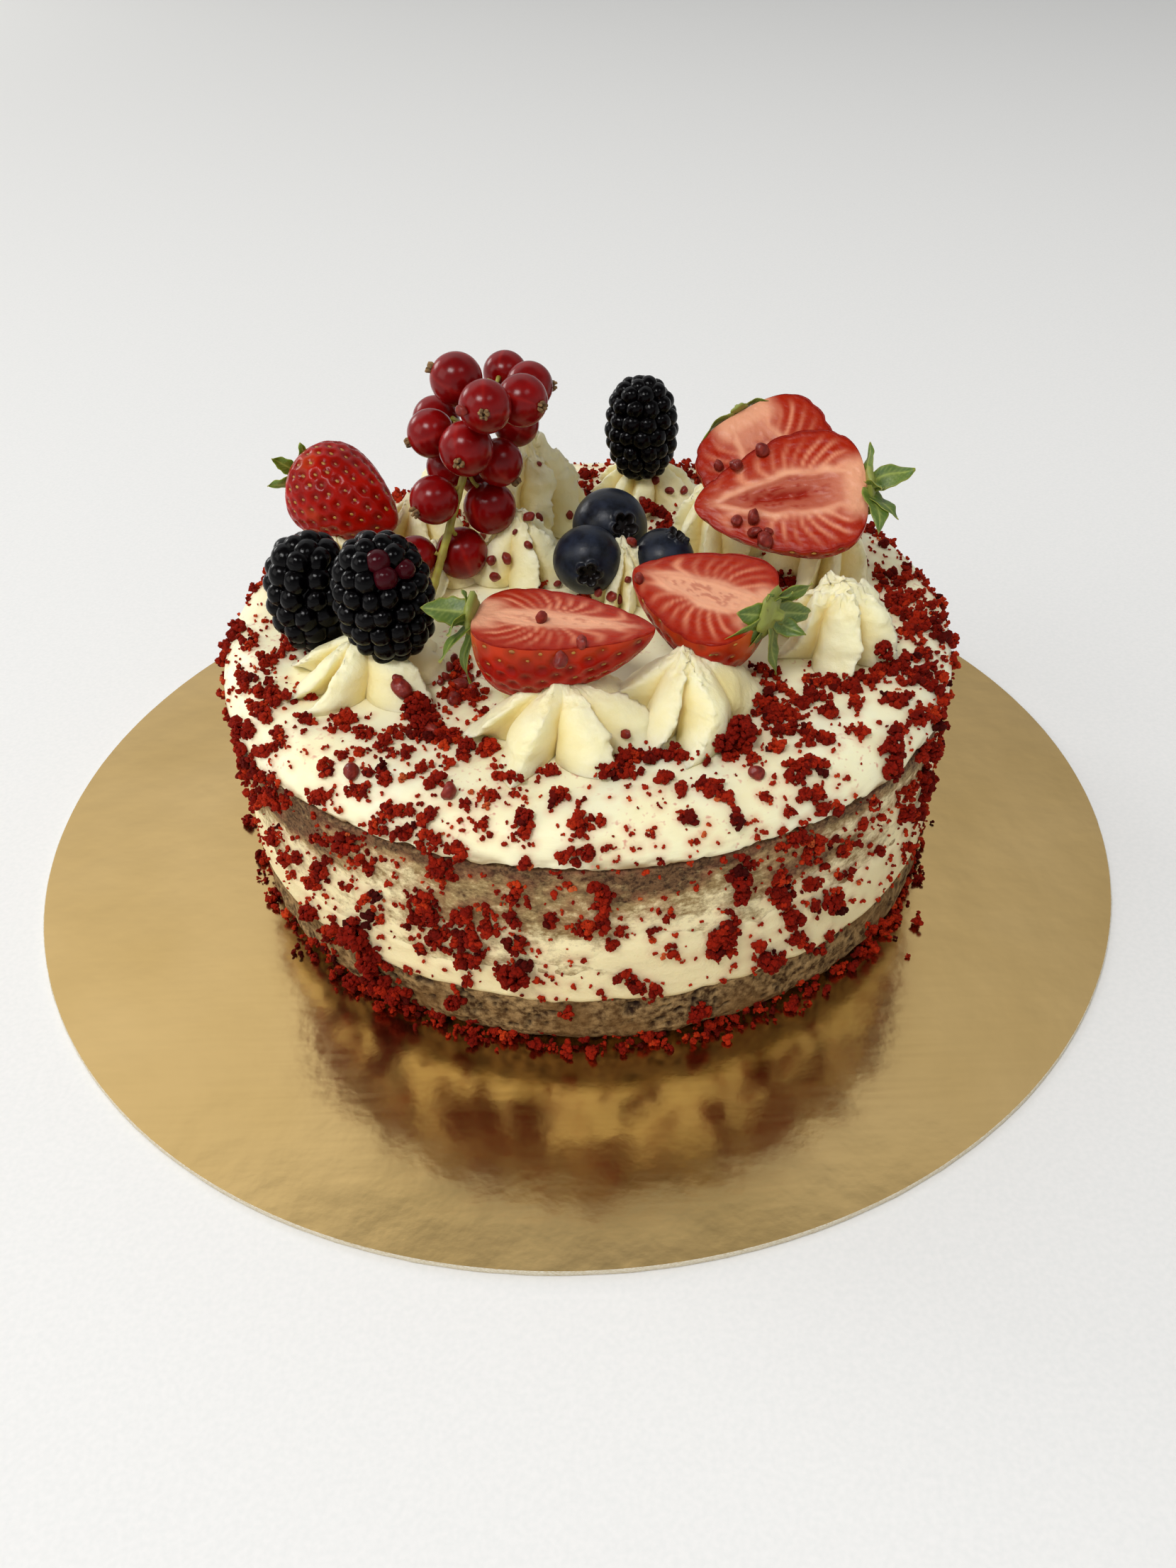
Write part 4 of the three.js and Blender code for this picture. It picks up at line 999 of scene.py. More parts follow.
# ---------------------------------------------------------------- currants
SPRIG_FOOT, SPRIG_TOP = np.array([-30.0, 1, 64]), np.array([-15.5, 18.5, 103])
SPRIG_BURIED, CURRANT_SAG = 4.1, 0.24
CURRANTS = (  # along the sprig, turn round it, distance from it, radius, how far above it its stalk forks off
    (45, -79, 7, 5.76, -1), (50, 176, 12.4, 4.99, -5), (48.5, 121, 9.2, 5.25, -3),
    (44.7, 57, 10.3, 5.53, 0), (41, 11, 14.7, 5.55, 4), (35.6, -128, 13.7, 5.38, 3),
    (32.5, -79, 9.2, 5.28, 7), (31.7, 2, 8.2, 5.91, 5), (40.1, 150, 12.9, 5.25, 0),
    (30.9, 100, 6.7, 5.26, 4), (26.5, -139, 7.5, 4.89, 3), (19.2, -38, 6.6, 5.35, 5),
    (20.7, 133, 8.9, 5.99, 7), (26.8, 175, 13.5, 4.86, 4), (9, 155, 7.2, 5.99, 6),
    (5.5, -103, 6.1, 4.9, 3))
SPRIG_AXIS = unit(SPRIG_TOP - SPRIG_FOOT)
SPRIG_FRONT = unit(np.array([0, -0.783, 0.622]) - SPRIG_AXIS * np.dot([0, -0.783, 0.622], SPRIG_AXIS))
SPRIG_SIDE = np.cross(SPRIG_AXIS, SPRIG_FRONT)


def on_sprig(along, turn, out):
    across = SPRIG_FRONT * math.cos(math.radians(turn)) + SPRIG_SIDE * math.sin(math.radians(turn))
    return SPRIG_FOOT + SPRIG_AXIS * along + across * out


def stalk_skin(path, radii, columns=10):
    """A round stalk along a path of points, with its radius at each."""
    path = np.asarray(path, float)
    heading = unit(np.gradient(path, axis=0))
    side = unit(np.cross(heading, [0.31, 0.94, 0.12]))
    other = np.cross(heading, side)
    angle = np.linspace(0, 2 * math.pi, columns, endpoint=False)
    ring = side[:, None] * np.cos(angle)[None, :, None] + other[:, None] * np.sin(angle)[None, :, None]
    return tube(path[:, None] + ring * np.asarray(radii, float)[:, None, None])


def currant_pieces():
    polar = np.radians(np.linspace(178, 3, 34))[:, None]
    angle = np.linspace(0, 2 * math.pi, 40, endpoint=False)[None, :]
    all_skins = []
    for index, (along, turn, out, size, fork_rise) in enumerate(CURRANTS):
        centre = on_sprig(along, turn, out) - [0, 0, CURRANT_SAG]
        outwards = unit(centre - on_sprig(along + fork_rise, 0, 0))
        reach = size * (1 - 0.05 * np.exp(-(polar / 0.16) ** 2)
                        - 0.04 * np.exp(-((polar - math.pi) / 0.2) ** 2))
        rings = np.stack([reach * np.sin(polar) * np.cos(angle), reach * np.sin(polar) * np.sin(angle),
                          reach * np.cos(polar) + 0 * angle], -1)
        rings *= (1 + 0.012 * noise(rings, 5, index + 200))[..., None]
        veins = np.exp(-(np.sin(5.5 * angle + index) / 0.12) ** 2) * np.sin(polar) ** 0.7 * 0.35
        skins = [tube(rings, vein=veins + 0 * polar)]
        length = rng.uniform(0.8, 1.2)
        for leaf in range(6):
            bend = rng.uniform(-0.5, 0.7)
            around = leaf * math.pi / 3 + rng.uniform(-0.3, 0.3)
            path = [[0.55, 0, size * 0.9], [0.85, 0, size + 0.35 * length],
                    [0.8 + 0.5 * bend, 0.1, size + 0.85 * length], [0.6 + 0.9 * bend, 0.3, size + length]]
            petal = stalk_skin(path, [0.52, 0.47, 0.34, 0.1], 6)
            skins.append(petal.placed(turn_about_z(math.degrees(around)), np.zeros(3)).dipped(1))
        skin = joined(skins).placed(turn_from_z(outwards), centre)
        make_piece(f"red_currant_{index + 1:02d}", skin, [MATERIALS["currant"], MATERIALS["flower"]],
                   [f"currant_{index + 1:02d}"])
        all_skins.append(skin)
    return all_skins


def stalk_piece():
    along = np.linspace(-SPRIG_BURIED, 47, 40)
    path = np.array([on_sprig(a, 0, 0) for a in along])
    knots = 0.16 * np.sin(along * 1.45) ** 8
    skins = [stalk_skin(path, np.interp(along, [-4, 20, 47], [0.95, 0.85, 0.55]) + knots, 12)]
    for along, turn, out, size, fork_rise in CURRANTS:
        fork = on_sprig(along + fork_rise, 0, 0)
        centre = on_sprig(along, turn, out)
        reach = np.linalg.norm(centre - fork)
        end = centre + unit(fork - centre) * (size - 0.1)
        share = np.linspace(0, 1, 9)[:, None]
        sag = np.array([0, 0, -0.08 * reach]) * np.sin(math.pi * share)
        skins.append(stalk_skin(fork + (end - fork) * share + sag, 0.42 + 0.16 * (1 - share[:, 0]) ** 3
                                + 0.2 * share[:, 0] ** 8, 8))
    make_piece("currant_sprig_stalk", joined(skins), [MATERIALS["stalk"]], ["currant_stem"])


# ---------------------------------------------------------------- crumbs and grains
DRIFTS = (  # where crumbs lie thick: middle and half size in the photograph's pixels, crumb size in mm
    (382, 935, 14, 16, 1.4), (372, 972, 22, 12, 2.2), (388, 990, 18, 10, 2.2), (365, 1000, 10, 8, 1.4),
    (373, 1012, 12, 12, 1.8), (433, 1015, 12, 12, 2.4), (425, 985, 14, 6, 1.6), (345, 1036, 14, 20, 1.8),
    (370, 1062, 18, 10, 1.6), (350, 1085, 14, 14, 2.2), (344, 1110, 10, 14, 1.8), (375, 1092, 16, 10, 1.8),
    (385, 1126, 24, 18, 1.8), (352, 1162, 12, 18, 1.8), (385, 1176, 18, 12, 1.6), (358, 1202, 14, 12, 2.2),
    (412, 1207, 11, 11, 2.6), (376, 1230, 10, 8, 1.6), (452, 1126, 20, 10, 1.4), (468, 1085, 10, 10, 1.8),
    (480, 1066, 8, 6, 1.4), (503, 1115, 12, 12, 1.6), (508, 1062, 12, 8, 1.6), (515, 1036, 16, 8, 1.6),
    (480, 1022, 18, 14, 1.8), (595, 998, 26, 20, 2.6), (590, 1032, 34, 16, 1.8), (615, 1045, 20, 14, 2.0),
    (565, 1066, 16, 10, 2.0), (540, 1052, 10, 8, 1.8), (640, 1040, 14, 10, 1.8), (657, 1061, 13, 12, 2.2),
    (690, 1056, 14, 12, 2.2), (635, 985, 20, 16, 1.8), (668, 985, 20, 10, 1.8), (650, 950, 22, 22, 1.8),
    (680, 1010, 12, 8, 1.6), (530, 1094, 18, 8, 2.2), (542, 1104, 10, 8, 1.8), (612, 1103, 16, 10, 2.0),
    (592, 1084, 10, 6, 1.6), (627, 1080, 10, 6, 1.6), (577, 1098, 8, 6, 1.6), (557, 1143, 12, 14, 1.8),
    (537, 1160, 14, 16, 1.4), (582, 1146, 9, 8, 2.0), (573, 1172, 16, 12, 1.8), (606, 1152, 10, 8, 1.6),
    (606, 1186, 20, 16, 1.6), (642, 1196, 18, 9, 1.8), (628, 1220, 18, 20, 1.8), (740, 1158, 12, 16, 2.4),
    (737, 1172, 14, 8, 2.2), (681, 1166, 9, 9, 1.8), (690, 1121, 8, 8, 1.6), (727, 1121, 9, 8, 1.6),
    (788, 1128, 12, 12, 1.8), (663, 1140, 8, 8, 1.4), (742, 1213, 7, 6, 1.8), (803, 1205, 12, 16, 2.2),
    (785, 1230, 8, 6, 1.8), (818, 1162, 16, 14, 1.8), (835, 1206, 8, 10, 1.8), (848, 1158, 8, 6, 1.4),
    (440, 1284, 16, 11, 3.0), (457, 1220, 12, 9, 2.0), (448, 1242, 18, 12, 1.8), (493, 1243, 10, 8, 2.2),
    (490, 1187, 26, 14, 1.8), (445, 1182, 12, 10, 2.0), (522, 1214, 16, 14, 1.8), (520, 1262, 14, 8, 1.8),
    (598, 1262, 20, 10, 1.6), (597, 1290, 24, 22, 2.0), (628, 1315, 16, 12, 1.8), (615, 1335, 20, 10, 1.8),
    (508, 1312, 28, 26, 4.2), (470, 1312, 18, 22, 1.8), (525, 1352, 26, 24, 2.6), (510, 1385, 30, 24, 2.2),
    (560, 1395, 20, 14, 2.0), (450, 1345, 24, 20, 1.8), (660, 1318, 20, 16, 2.4), (668, 1342, 20, 14, 2.0),
    (690, 1306, 18, 12, 2.2), (650, 1290, 20, 14, 1.6), (735, 1332, 18, 14, 2.4), (728, 1368, 28, 22, 3.6),
    (725, 1264, 20, 9, 1.8), (778, 1293, 14, 9, 2.2), (722, 1290, 10, 8, 1.8), (683, 1282, 10, 8, 1.4),
    (641, 1408, 10, 14, 2.6), (578, 1369, 6, 5, 1.8), (660, 1376, 8, 8, 1.6), (760, 1378, 8, 7, 1.8),
    (803, 1430, 12, 8, 1.8), (852, 1265, 16, 20, 2.2), (846, 1296, 16, 16, 2.0), (820, 1310, 14, 10, 1.6),
    (866, 1334, 12, 8, 2.0), (945, 1338, 9, 12, 2.0), (937, 1288, 12, 9, 1.8), (925, 1310, 9, 5, 1.6),
    (875, 1310, 8, 6, 1.6), (905, 1388, 26, 10, 2.2), (920, 1404, 12, 6, 1.8), (885, 1376, 14, 6, 1.6),
    (985, 1424, 12, 15, 2.2), (1018, 1322, 24, 20, 2.4), (1030, 1302, 14, 10, 1.8),
    (1002, 1344, 10, 8, 1.8), (1083, 1350, 22, 18, 3.2), (1065, 1333, 8, 6, 1.8), (1130, 1322, 12, 11, 2.0),
    (1112, 1324, 9, 7, 1.8), (1040, 1245, 16, 34, 3.4), (1072, 1216, 16, 8, 1.8), (1105, 1232, 16, 10, 1.8),
    (1104, 1262, 16, 14, 2.4), (1110, 1292, 16, 16, 2.4), (1145, 1250, 16, 12, 1.8),
    (1165, 1272, 16, 16, 2.4), (1180, 1258, 10, 8, 1.8), (1145, 1206, 16, 12, 1.8),
    (1120, 1180, 20, 14, 1.6), (1155, 1185, 18, 12, 1.4), (1190, 1192, 18, 10, 1.6),
    (1185, 1230, 14, 9, 1.8), (1100, 1192, 12, 8, 1.6), (1225, 1153, 14, 9, 2.0), (1230, 1135, 10, 8, 1.6),
    (1275, 1115, 12, 10, 1.8), (1272, 1146, 16, 12, 2.4), (1300, 1100, 16, 24, 2.4),
    (1308, 1060, 14, 18, 2.2), (1318, 1118, 14, 16, 2.4), (1300, 1140, 16, 14, 2.0),
    (1275, 1200, 9, 8, 1.8), (1235, 1202, 8, 6, 1.6), (1225, 1318, 9, 18, 1.8), (1170, 1316, 10, 6, 1.6),
    (1155, 1338, 9, 8, 1.6), (1275, 1290, 14, 14, 1.8), (1250, 1310, 18, 12, 1.8),
    (1167, 1008, 12, 10, 3.0), (1126, 995, 14, 8, 1.8), (1130, 1030, 16, 12, 2.0),
    (1108, 1010, 20, 12, 1.8), (1150, 1044, 24, 9, 1.8), (1088, 1058, 14, 8, 1.8),
    (1090, 1020, 24, 16, 2.0), (1028, 1030, 30, 22, 3.6), (1032, 1070, 18, 14, 2.0),
    (1060, 1074, 6, 8, 1.6), (1085, 975, 26, 20, 2.2), (1070, 1000, 20, 16, 2.0), (1078, 948, 20, 8, 2.0),
    (1172, 962, 30, 9, 1.8), (1155, 978, 18, 9, 2.2), (1200, 976, 20, 9, 1.8), (1215, 960, 20, 12, 1.8),
    (1208, 996, 12, 7, 1.8), (1215, 1040, 10, 6, 1.8), (1195, 1030, 8, 6, 1.6), (1133, 1082, 20, 14, 2.0),
    (1118, 1100, 12, 7, 1.6), (1160, 1078, 9, 9, 1.8), (1150, 1120, 7, 12, 1.6), (1128, 1125, 10, 8, 1.6),
    (1080, 1126, 8, 8, 1.4), (1172, 1140, 18, 7, 1.6), (1110, 1146, 9, 8, 1.8), (1256, 1056, 13, 18, 3.2),
    (1254, 1090, 14, 14, 3.0), (1265, 987, 18, 10, 2.0), (1268, 1030, 14, 7, 1.6),
    (1290, 1010, 12, 14, 1.8), (1322, 1000, 14, 20, 2.2), (1332, 1032, 12, 14, 2.2),
    (1285, 950, 26, 16, 2.2), (1318, 965, 16, 18, 2.2), (1240, 950, 16, 12, 1.8), (1300, 925, 20, 14, 2.0),
    (1330, 902, 14, 10, 2.4), (1270, 880, 28, 22, 2.4), (1300, 880, 20, 20, 2.2), (1262, 845, 20, 14, 2.0),
    (1245, 915, 12, 14, 2.8), (1255, 930, 16, 12, 2.0), (1290, 845, 16, 14, 1.6), (1225, 860, 12, 16, 2.0),
    (1270, 820, 24, 12, 1.6), (1300, 815, 12, 14, 1.6), (915, 1070, 44, 9, 2.2), (975, 1068, 28, 9, 2.0),
    (885, 1092, 20, 9, 2.0), (880, 1066, 20, 8, 2.0), (938, 1100, 12, 8, 1.8), (958, 1112, 8, 9, 1.8),
    (990, 1108, 12, 7, 1.8), (1018, 1116, 20, 11, 2.6), (1000, 1110, 12, 9, 1.8), (882, 1112, 5, 6, 1.6),
    (968, 1150, 18, 6, 1.8), (1042, 1160, 12, 9, 1.8), (1070, 1173, 7, 6, 1.6), (981, 1187, 6, 6, 1.6),
    (932, 1212, 6, 5, 1.6), (918, 1178, 7, 5, 1.6), (856, 1195, 8, 8, 1.6), (820, 710, 20, 18, 2.2),
    (835, 725, 24, 12, 2.0), (912, 716, 20, 14, 2.6), (945, 740, 26, 18, 2.0), (975, 760, 20, 14, 1.8),
    (815, 690, 14, 12, 2.2), (700, 745, 14, 10, 1.6), (540, 880, 16, 14, 1.8), (762, 822, 20, 6, 1.8),
    (720, 1096, 16, 6, 1.6), (770, 1092, 16, 6, 1.6), (860, 1085, 16, 10, 1.8), (690, 1062, 10, 8, 1.6),
    (352, 905, 10, 14, 1.4), (345, 960, 8, 20, 1.4), (395, 1040, 12, 12, 1.4), (405, 905, 12, 16, 1.6),
)
LUMPS = (  # crumbs that have stayed whole, round and rough: the photograph's pixel and how wide in mm
    (508, 1312, 7.4), (728, 1368, 6.8), (525, 1356, 6.0), (1028, 1030, 6.6), (1040, 1236, 4.6),
    (1043, 1258, 4.4), (1080, 1350, 5.2), (1256, 1052, 4.6), (1254, 1078, 4.2), (1166, 1006, 3.8),
    (585, 1000, 5.6), (596, 1030, 5.0), (440, 1284, 4.4), (612, 1290, 4.0), (740, 1154, 3.8),
    (1165, 1272, 4.4), (1022, 1322, 4.2), (640, 1408, 4.0), (1272, 1146, 4.0), (1308, 1060, 4.2),
    (1244, 912, 4.4), (826, 1200, 3.4), (1012, 1046, 4.6), (345, 1030, 3.6), (660, 1058, 3.6),
    (980, 1426, 4.4), (352, 1162, 3.8), (905, 716, 4.6), (500, 1390, 5.2), (560, 1400, 4.6),
)
GRAINS = (  # fruit sugar grains: the photograph's pixel of each, and how long it is in mm
    (763, 877, 3.0), (790, 926, 3.4), (821, 911, 2.5), (877, 843, 2.6), (888, 818, 1.9), (902, 820, 2.3),
    (887, 767, 2.6), (843, 833, 2.0), (786, 823, 1.9), (695, 790, 2.7), (714, 787, 2.8), (700, 812, 3.0),
    (744, 730, 2.7), (762, 730, 2.5), (728, 749, 1.4), (745, 770, 2.2), (803, 726, 2.1), (760, 657, 1.5),
    (684, 758, 2.4), (925, 678, 2.7), (943, 693, 2.6), (963, 693, 2.2), (1014, 659, 2.6), (1039, 658, 3.3),
    (1075, 638, 3.2), (1040, 737, 2.8), (1063, 731, 3.4), (1065, 752, 3.1), (1078, 765, 3.7),
    (562, 958, 2.4), (568, 974, 4.4), (632, 942, 2.2), (641, 933, 2.2), (648, 950, 2.4), (656, 940, 2.2),
    (661, 960, 2.6), (650, 973, 3.6), (640, 991, 3.2), (628, 955, 2.0), (498, 1092, 3.4), (634, 1122, 3.6),
    (610, 1036, 3.4), (882, 1034, 2.2), (1066, 1094, 3.2), (866, 842, 2.8), (666, 975, 2.2),
    (622, 965, 2.0), (655, 579, 2.6), (1083, 752, 2.2), (905, 705, 2.2),
)
# How many drifts lie where the photograph doesn't show them, and how many single crumbs on each surface.
BACK_DRIFTS, LOOSE_ON_WALL, LOOSE_ON_TOP, FOOT_CRUMBS = 210, 1700, 1300, 1050
CRUMBS_TOP = 62.6  # crumbs lie no higher than this: the kisses and the fruit stay clean
FINE, SMALL, LARGE = 1.2, 2.5, 3.3  # the widest crumb of each kind, in mm
WIDEST_BROKEN = 3.2


def crumb_shape(grains, seed, fine=1.0):
    """One broken crumb 1 mm across: rough grains of sponge stuck together in a ragged lump."""
    points, faces = ball(1)
    centres, parts = [np.zeros(3)], []
    for grain in range(grains):
        size = rng.uniform(0.2, 0.36) * fine
        if grain and fine < 1:
            centres.append(unit(rng.normal(size=3)) * rng.uniform(0.3, 0.46) * [1, 0.92, 0.84])
        elif grain:
            centres.append(centres[rng.integers(len(centres))] + unit(rng.normal(size=3)) * size * 1.1)
        rough = 1 + 0.4 * noise(points, 0.8, seed * 31 + grain)
        parts.append(Skin(points * rough[:, None] * rng.uniform(0.65, 1.25, 3) * size + centres[-1],
                          [(faces, 0)]))
    lump = joined(parts)
    middle = (lump.points.max(axis=0) + lump.points.min(axis=0)) / 2
    return Skin((lump.points - middle) / np.ptp(lump.points, axis=0).max(), lump.blocks)


def grain_shape(seed):
    """One sugar grain 1 mm long: a worn pebble with blunt corners."""
    points, faces = ball(3)
    corners = unit(rng.normal(size=(9, 3)))
    flat = np.min(1 / np.maximum(points @ corners.T, 0.62), axis=1)
    worn = 0.5 * np.minimum(flat, 1.25) / 1.25 * (1 + 0.1 * noise(points, 0.9, seed))
    return Skin(points * worn[:, None] * [1.0, rng.uniform(0.7, 0.85), rng.uniform(0.6, 0.75)], [(faces, 0)])


def drift(heap, seen, count, size, tone):
    """Adds crumbs to a heap of (place, size, tone), each where `seen` puts it."""
    for crumb in range(count):
        found = seen()
        grown = float(np.clip(size * math.exp(rng.normal() * 0.4), 0.6, min(WIDEST_BROKEN, 1.8 * size)))
        shade = float(np.clip(tone + rng.normal() * 0.16, 0, 0.9))
        if found is not None and BOARD_THICKNESS + 0.2 < found[0][2] < CRUMBS_TOP:
            heap.append((found[0] + found[1] * 0.28 * grown, grown, shade))


def near(px, py, half_x, half_y, tree):
    """Gives a function that finds a spot of the carrier close to a pixel."""
    def spot():
        away = np.clip(rng.normal(size=2) * 0.52, -1.15, 1.15)
        return seen_at(tree, px + half_x * away[0], py + half_y * away[1])
    return spot


def round_the_wall(angle, height, spread, tree):
    def spot():
        turned = angle + rng.normal() * spread / CAKE_RADIUS
        way = np.array([math.cos(turned), math.sin(turned), 0])
        start = np.array([CAKE_X, CAKE_Y, height + rng.normal() * spread * 0.7]) + way * 120
        return settle(tree, start, -way)
    return spot


def on_the_top(x, y, spread, tree):
    def spot():
        start = np.array([x, y, 140]) + rng.normal(size=3) * [spread, spread, 0]
        return settle(tree, start, (0, 0, -1))
    return spot


def crumb_pieces(tree, fruit_tree):
    tiny = [crumb_shape(2, i) for i in range(12)]
    small = [crumb_shape(5, 20 + i) for i in range(16)]
    large = [crumb_shape(14, 60 + i) for i in range(12)]
    whole = [crumb_shape(70, 90 + i, 0.45) for i in range(8)]
    kinds = (tiny, small, large, whole)
    heap = []
    for px, py, half_x, half_y, size in DRIFTS:
        count = max(2, round((0.2 if py > 1150 else 0.26) * half_x * half_y / size ** 2))
        drift(heap, near(px, py, half_x, half_y, tree), count, size, 0.58 - 0.1 * size)
    for drifted in range(BACK_DRIFTS):
        # The side away from the camera, and the top behind the fruit, as thick as the side that shows.
        size, spread = rng.uniform(1.3, 2.4), rng.uniform(1.0, 3.4)
        if drifted % 5 < 3:
            spot = round_the_wall(math.radians(rng.uniform(-18, 198)), rng.uniform(18, 59), spread, tree)
        else:
            angle, reach = math.radians(rng.uniform(-10, 190)), rng.uniform(45, 80)
            spot = on_the_top(CAKE_X + reach * math.cos(angle), reach * math.sin(angle), spread, tree)
        drift(heap, spot, rng.integers(6, 20), size, 0.4)
    for loose in range(LOOSE_ON_WALL):
        angle = math.radians(rng.uniform(-180, 180))
        drift(heap, round_the_wall(angle, rng.uniform(16, 58), 0.1, tree), 1, 1.0, 0.58)
    for loose in range(LOOSE_ON_TOP):
        angle, reach = rng.uniform(-math.pi, math.pi), 80 * math.sqrt(rng.uniform(0.3, 1))
        drift(heap, on_the_top(CAKE_X + reach * math.cos(angle), reach * math.sin(angle), 0.1, tree),
              1, 1.0, 0.55)
    for px, py, size in LUMPS:
        found = seen_at(tree, px, py)
        heap.append((found[0] + found[1] * 0.3 * size, size, 0.3))
    brink = CAKE_TOP - 5
    above = [crumb for crumb in heap if crumb[0][2] > brink]
    beside = [crumb for crumb in heap if crumb[0][2] <= brink]
    lay_crumbs("top_crumbs", kinds, above)
    lay_crumbs("wall_crumbs", kinds, beside)
    # Round the foot: fallen from the wall in a loose bank against it.
    foot = []
    for crumb in range(FOOT_CRUMBS):
        angle = rng.uniform(-math.pi, math.pi)
        size = min(WIDEST_BROKEN, 1.0 + rng.exponential(0.75))
        out = abs(rng.normal()) * 2.2
        reach = 79.2 + wander(angle) + out
        level = BOARD_THICKNESS + 0.4 * size + rng.uniform(0, 1) * max(0.0, 4.5 - 2.2 * out)
        foot.append((np.array([CAKE_X + reach * math.cos(angle), reach * math.sin(angle), level]), size,
                     float(np.clip(0.4 + rng.normal() * 0.18, 0, 0.85))))
    lay_crumbs("foot_crumbs", kinds, foot)
    # Freeze-dried fruit sugar over the fruit and the kisses.
    pebbles = [grain_shape(i) for i in range(10)]
    grains = []
    for px, py, size in GRAINS:
        found = seen_at(fruit_tree, px, py)
        grains.append((found[0] + found[1] * 0.3 * size, 1.15 * size, 0.5))
    make_piece("ruby_sugar_grains", joined(scattered((pebbles,), grains)), [MATERIALS["grain"]])
    return [place for place, size, _ in heap if size > 0.9]


def scattered(kinds, heap):
    """Copies of the shapes, each turned its own way, finer kinds for smaller ones."""
    skins = []
    for at, size, tone in heap:
        kind = kinds[min(len(kinds) - 1, sum(size > widest for widest in (FINE, SMALL, LARGE)))]
        shape = kind[rng.integers(len(kind))]
        skins.append(Skin(shape.points @ (random_turn() * size).T + at, shape.blocks, tone=tone))
    return skins


def lay_crumbs(name, kinds, heap):
    """The crumbs of a heap as three pieces: the coarse ones, the small ones and the finest."""
    skins = scattered(kinds, heap)
    for kind, low, high in (("", SMALL, math.inf), ("small_", FINE, SMALL), ("fine_", 0, FINE)):
        chosen = [skin for skin, crumb in zip(skins, heap) if low < crumb[1] <= high]
        make_piece(kind + name, joined(chosen), [MATERIALS["crumb"]], smooth=False)


def stain(piece, crumbs):
    """Notes how near a crumb each point is, where its colour has bled into the cream."""
    tree = KDTree(len(crumbs))
    for index, place in enumerate(crumbs):
        tree.insert(place, index)
    tree.balance()
    points = np.empty(len(piece.data.vertices) * 3)
    piece.data.vertices.foreach_get("co", points)
    away = np.array([tree.find(point)[2] for point in points.reshape(-1, 3) / MM])
    near_by = np.exp(-(away / 1.9) ** 2)
    piece.data.attributes.new("blush", "FLOAT", "POINT").data.foreach_set("value", near_by)


# ---------------------------------------------------------------- build
MATERIALS = {
    "sponge": bare_sponge(), "coat": scraped_coat(), "cream": spread_cream(), "piped": piped_cream(),
    "crumb": red_crumb(), "grain": ruby_grain(), "berry": strawberry_skin(), "seed": strawberry_seed(),
    "cut": cut_strawberry(), "leaf": calyx_leaf(), "bramble": bramble_skin(), "blueberry": blueberry_skin(),
    "currant": currant_skin(), "flower": dry_flower(), "stalk": green_stalk(),
}
board = board_piece()
base = base_piece()
upper = upper_piece()
smear = smear_piece()
cream_top = top_piece()
swirls = swirl_pieces()
brambles = bramble_pieces()
blueberries = blueberry_pieces()
strawberries = strawberry_pieces()
calyx_pieces()
currants = currant_pieces()
stalk_piece()
cake = [board, base, upper, smear, cream_top, *swirls]
crumbs = crumb_pieces(carrier(cake), carrier([*cake, *brambles, *blueberries, *strawberries, *currants]))
for name in ("spread_cream_top", "scraped_upper_sponge", "cream_filling_smear"):
    stain(bpy.data.objects[name], crumbs)


# ---------------------------------------------------------------- stage, light and camera
def stage_floor():
    mesh = bpy.data.meshes.new("paper_floor")
    half, below = 6.0, -0.0002
    corners = [(-half, -half, below), (half, -half, below), (half, half, below), (-half, half, below)]
    mesh.from_pydata(corners, [], [(0, 1, 2, 3)])
    mesh.materials.append(backdrop_paper())
    floor = bpy.data.objects.new("paper_floor", mesh)
    bpy.context.scene.collection.objects.link(floor)


def soft_light(name, at, size, power, colour, aim=(0.0, 0.0, 0.05)):
    lamp = bpy.data.lights.new(name, "AREA")
    lamp.shape, lamp.size, lamp.size_y, lamp.energy = "RECTANGLE", size[0], size[1], power
    lamp.color = linear(colour)[:3]
    holder = bpy.data.objects.new(name, lamp)
    holder.location = at
    holder.rotation_euler = (Vector(aim) - Vector(at)).to_track_quat("-Z", "Y").to_euler()
    bpy.context.scene.collection.objects.link(holder)


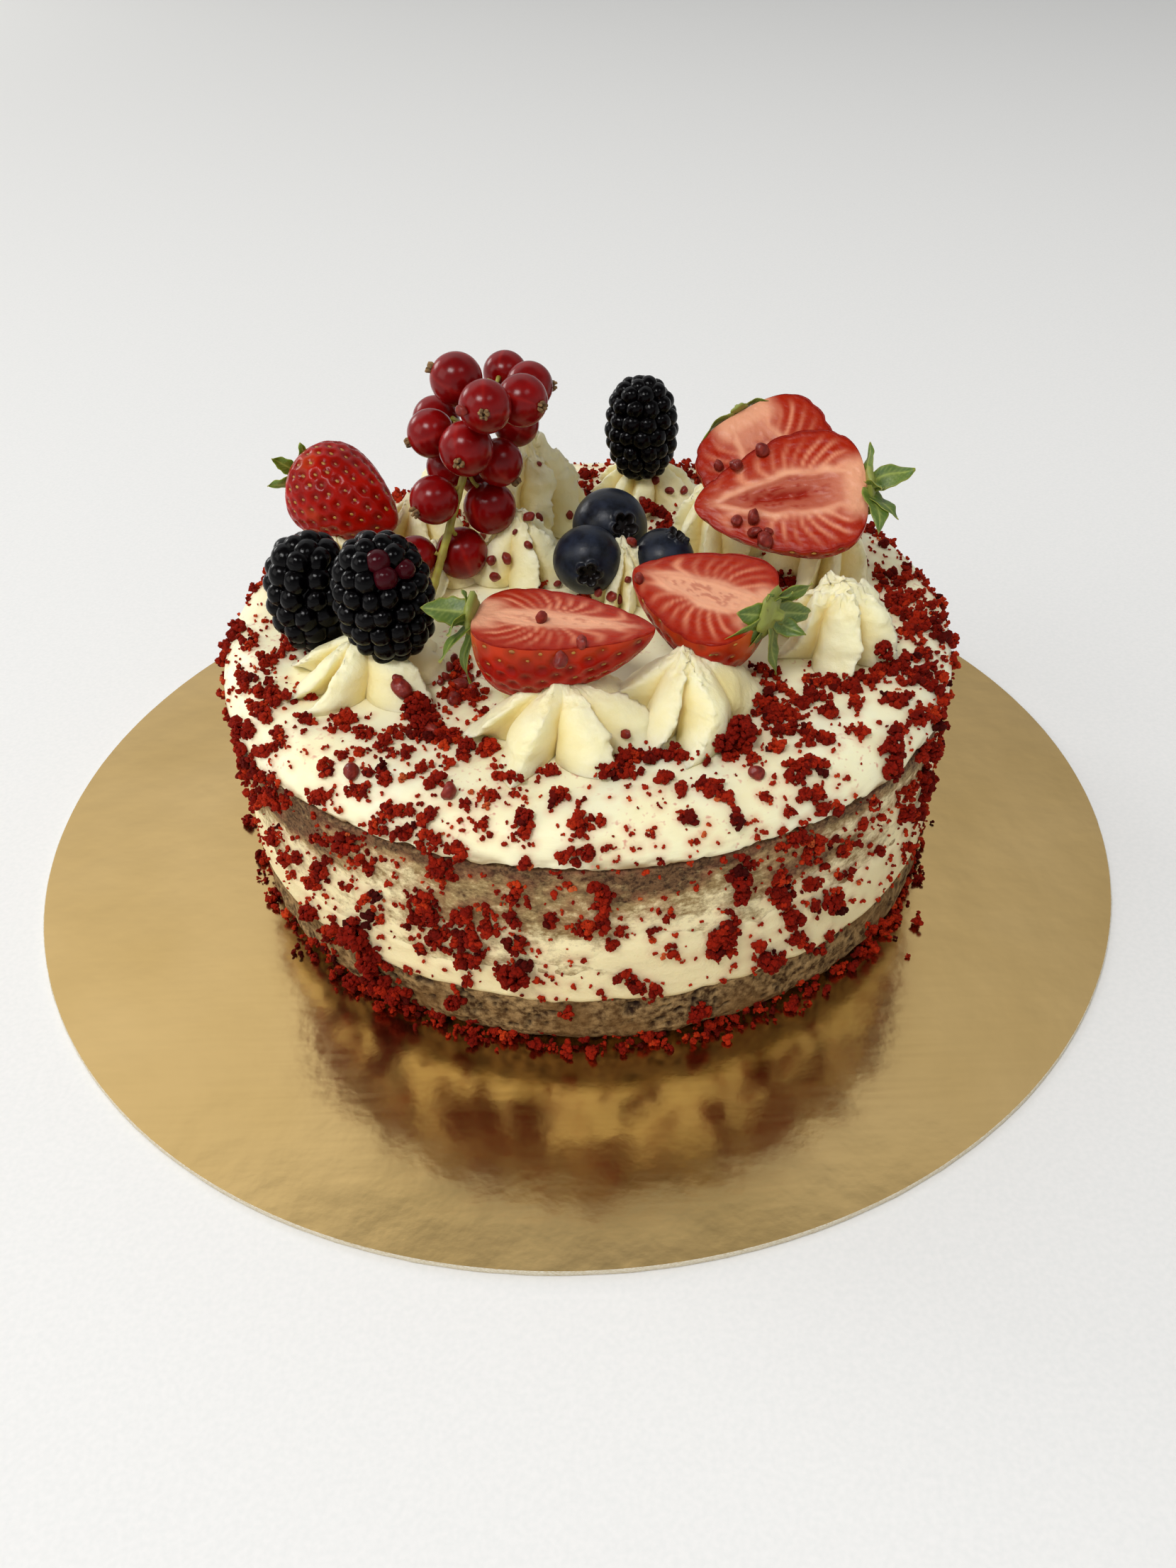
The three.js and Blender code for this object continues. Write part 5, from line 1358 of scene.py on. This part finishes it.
def stage_camera():
    lens = bpy.data.cameras.new("camera")
    lens.sensor_width, lens.sensor_fit = 36.0, "AUTO"
    lens.lens = 36.0 * FOCAL_PIXELS / PHOTO_HEIGHT
    lens.clip_start, lens.clip_end = 0.01, 50.0
    camera = bpy.data.objects.new("camera", lens)
    camera.matrix_world = Matrix.Translation(Vector(CAMERA_AT) * MM) @ CAMERA_TURN.to_4x4()
    bpy.context.scene.collection.objects.link(camera)
    bpy.context.scene.camera = camera


stage_floor()
soft_light("ceiling_left", (-0.7, -1.15, 2.0), (0.8, 0.55), 29.0, "#fffefd")
soft_light("ceiling_right", (0.95, -1.05, 2.0), (0.75, 0.5), 5.0, "#fafcff")
soft_light("far_window", (-2.0, 1.7, 1.0), (0.9, 0.7), 15.0, "#fffefa", (-0.4, 1.1, 0.0))
soft_light("window", (-1.35, -0.5, 0.9), (1.1, 0.9), 5.5, "#fffefa")
stage_camera()

# A room with a dim ceiling: a pale wall behind the cake, brighter on the window's side, and a lit room on
# the photographer's side.
room = bpy.data.worlds.new("pale_wall_under_dim_ceiling")
room.use_nodes = True
sky = room.node_tree
sight = add(sky, "ShaderNodeTexCoord", output="Generated")
split = add(sky, "ShaderNodeSeparateXYZ", {0: sight}).node
across = add(sky, RANGE, {"Value": split.outputs["X"], "From Min": -0.5, "From Max": 0.5, "To Min": 0.98,
                          "To Max": 0.5})
upward = add(sky, RANGE, {"Value": split.outputs["Z"], "From Min": 0.35, "From Max": 0.75, "To Min": 0.7,
                          "To Max": 1.4})
wall = add(sky, MATH, {0: across, 1: upward}, operation="MULTIPLY")
behind = add(sky, RANGE, {"Value": split.outputs["Y"], "From Min": 0.1, "From Max": 0.45})
low = add(sky, RANGE, {"Value": split.outputs["Z"], "From Min": 0.92, "From Max": 0.8})
wall_share = add(sky, MATH, {0: behind, 1: low}, operation="MULTIPLY")
front = add(sky, RANGE, {"Value": split.outputs["Z"], "From Min": 0.25, "From Max": 0.6, "To Min": 0.68,
                         "To Max": 0.18})
glow = add(sky, MIX, {0: wall_share, 2: front, 3: wall})
sky.links.new(glow, sky.nodes["Background"].inputs["Strength"])
sky.nodes["Background"].inputs["Color"].default_value = linear("#f8f9fa")
bpy.context.scene.world = room
bpy.context.scene.view_settings.view_transform = "Standard"
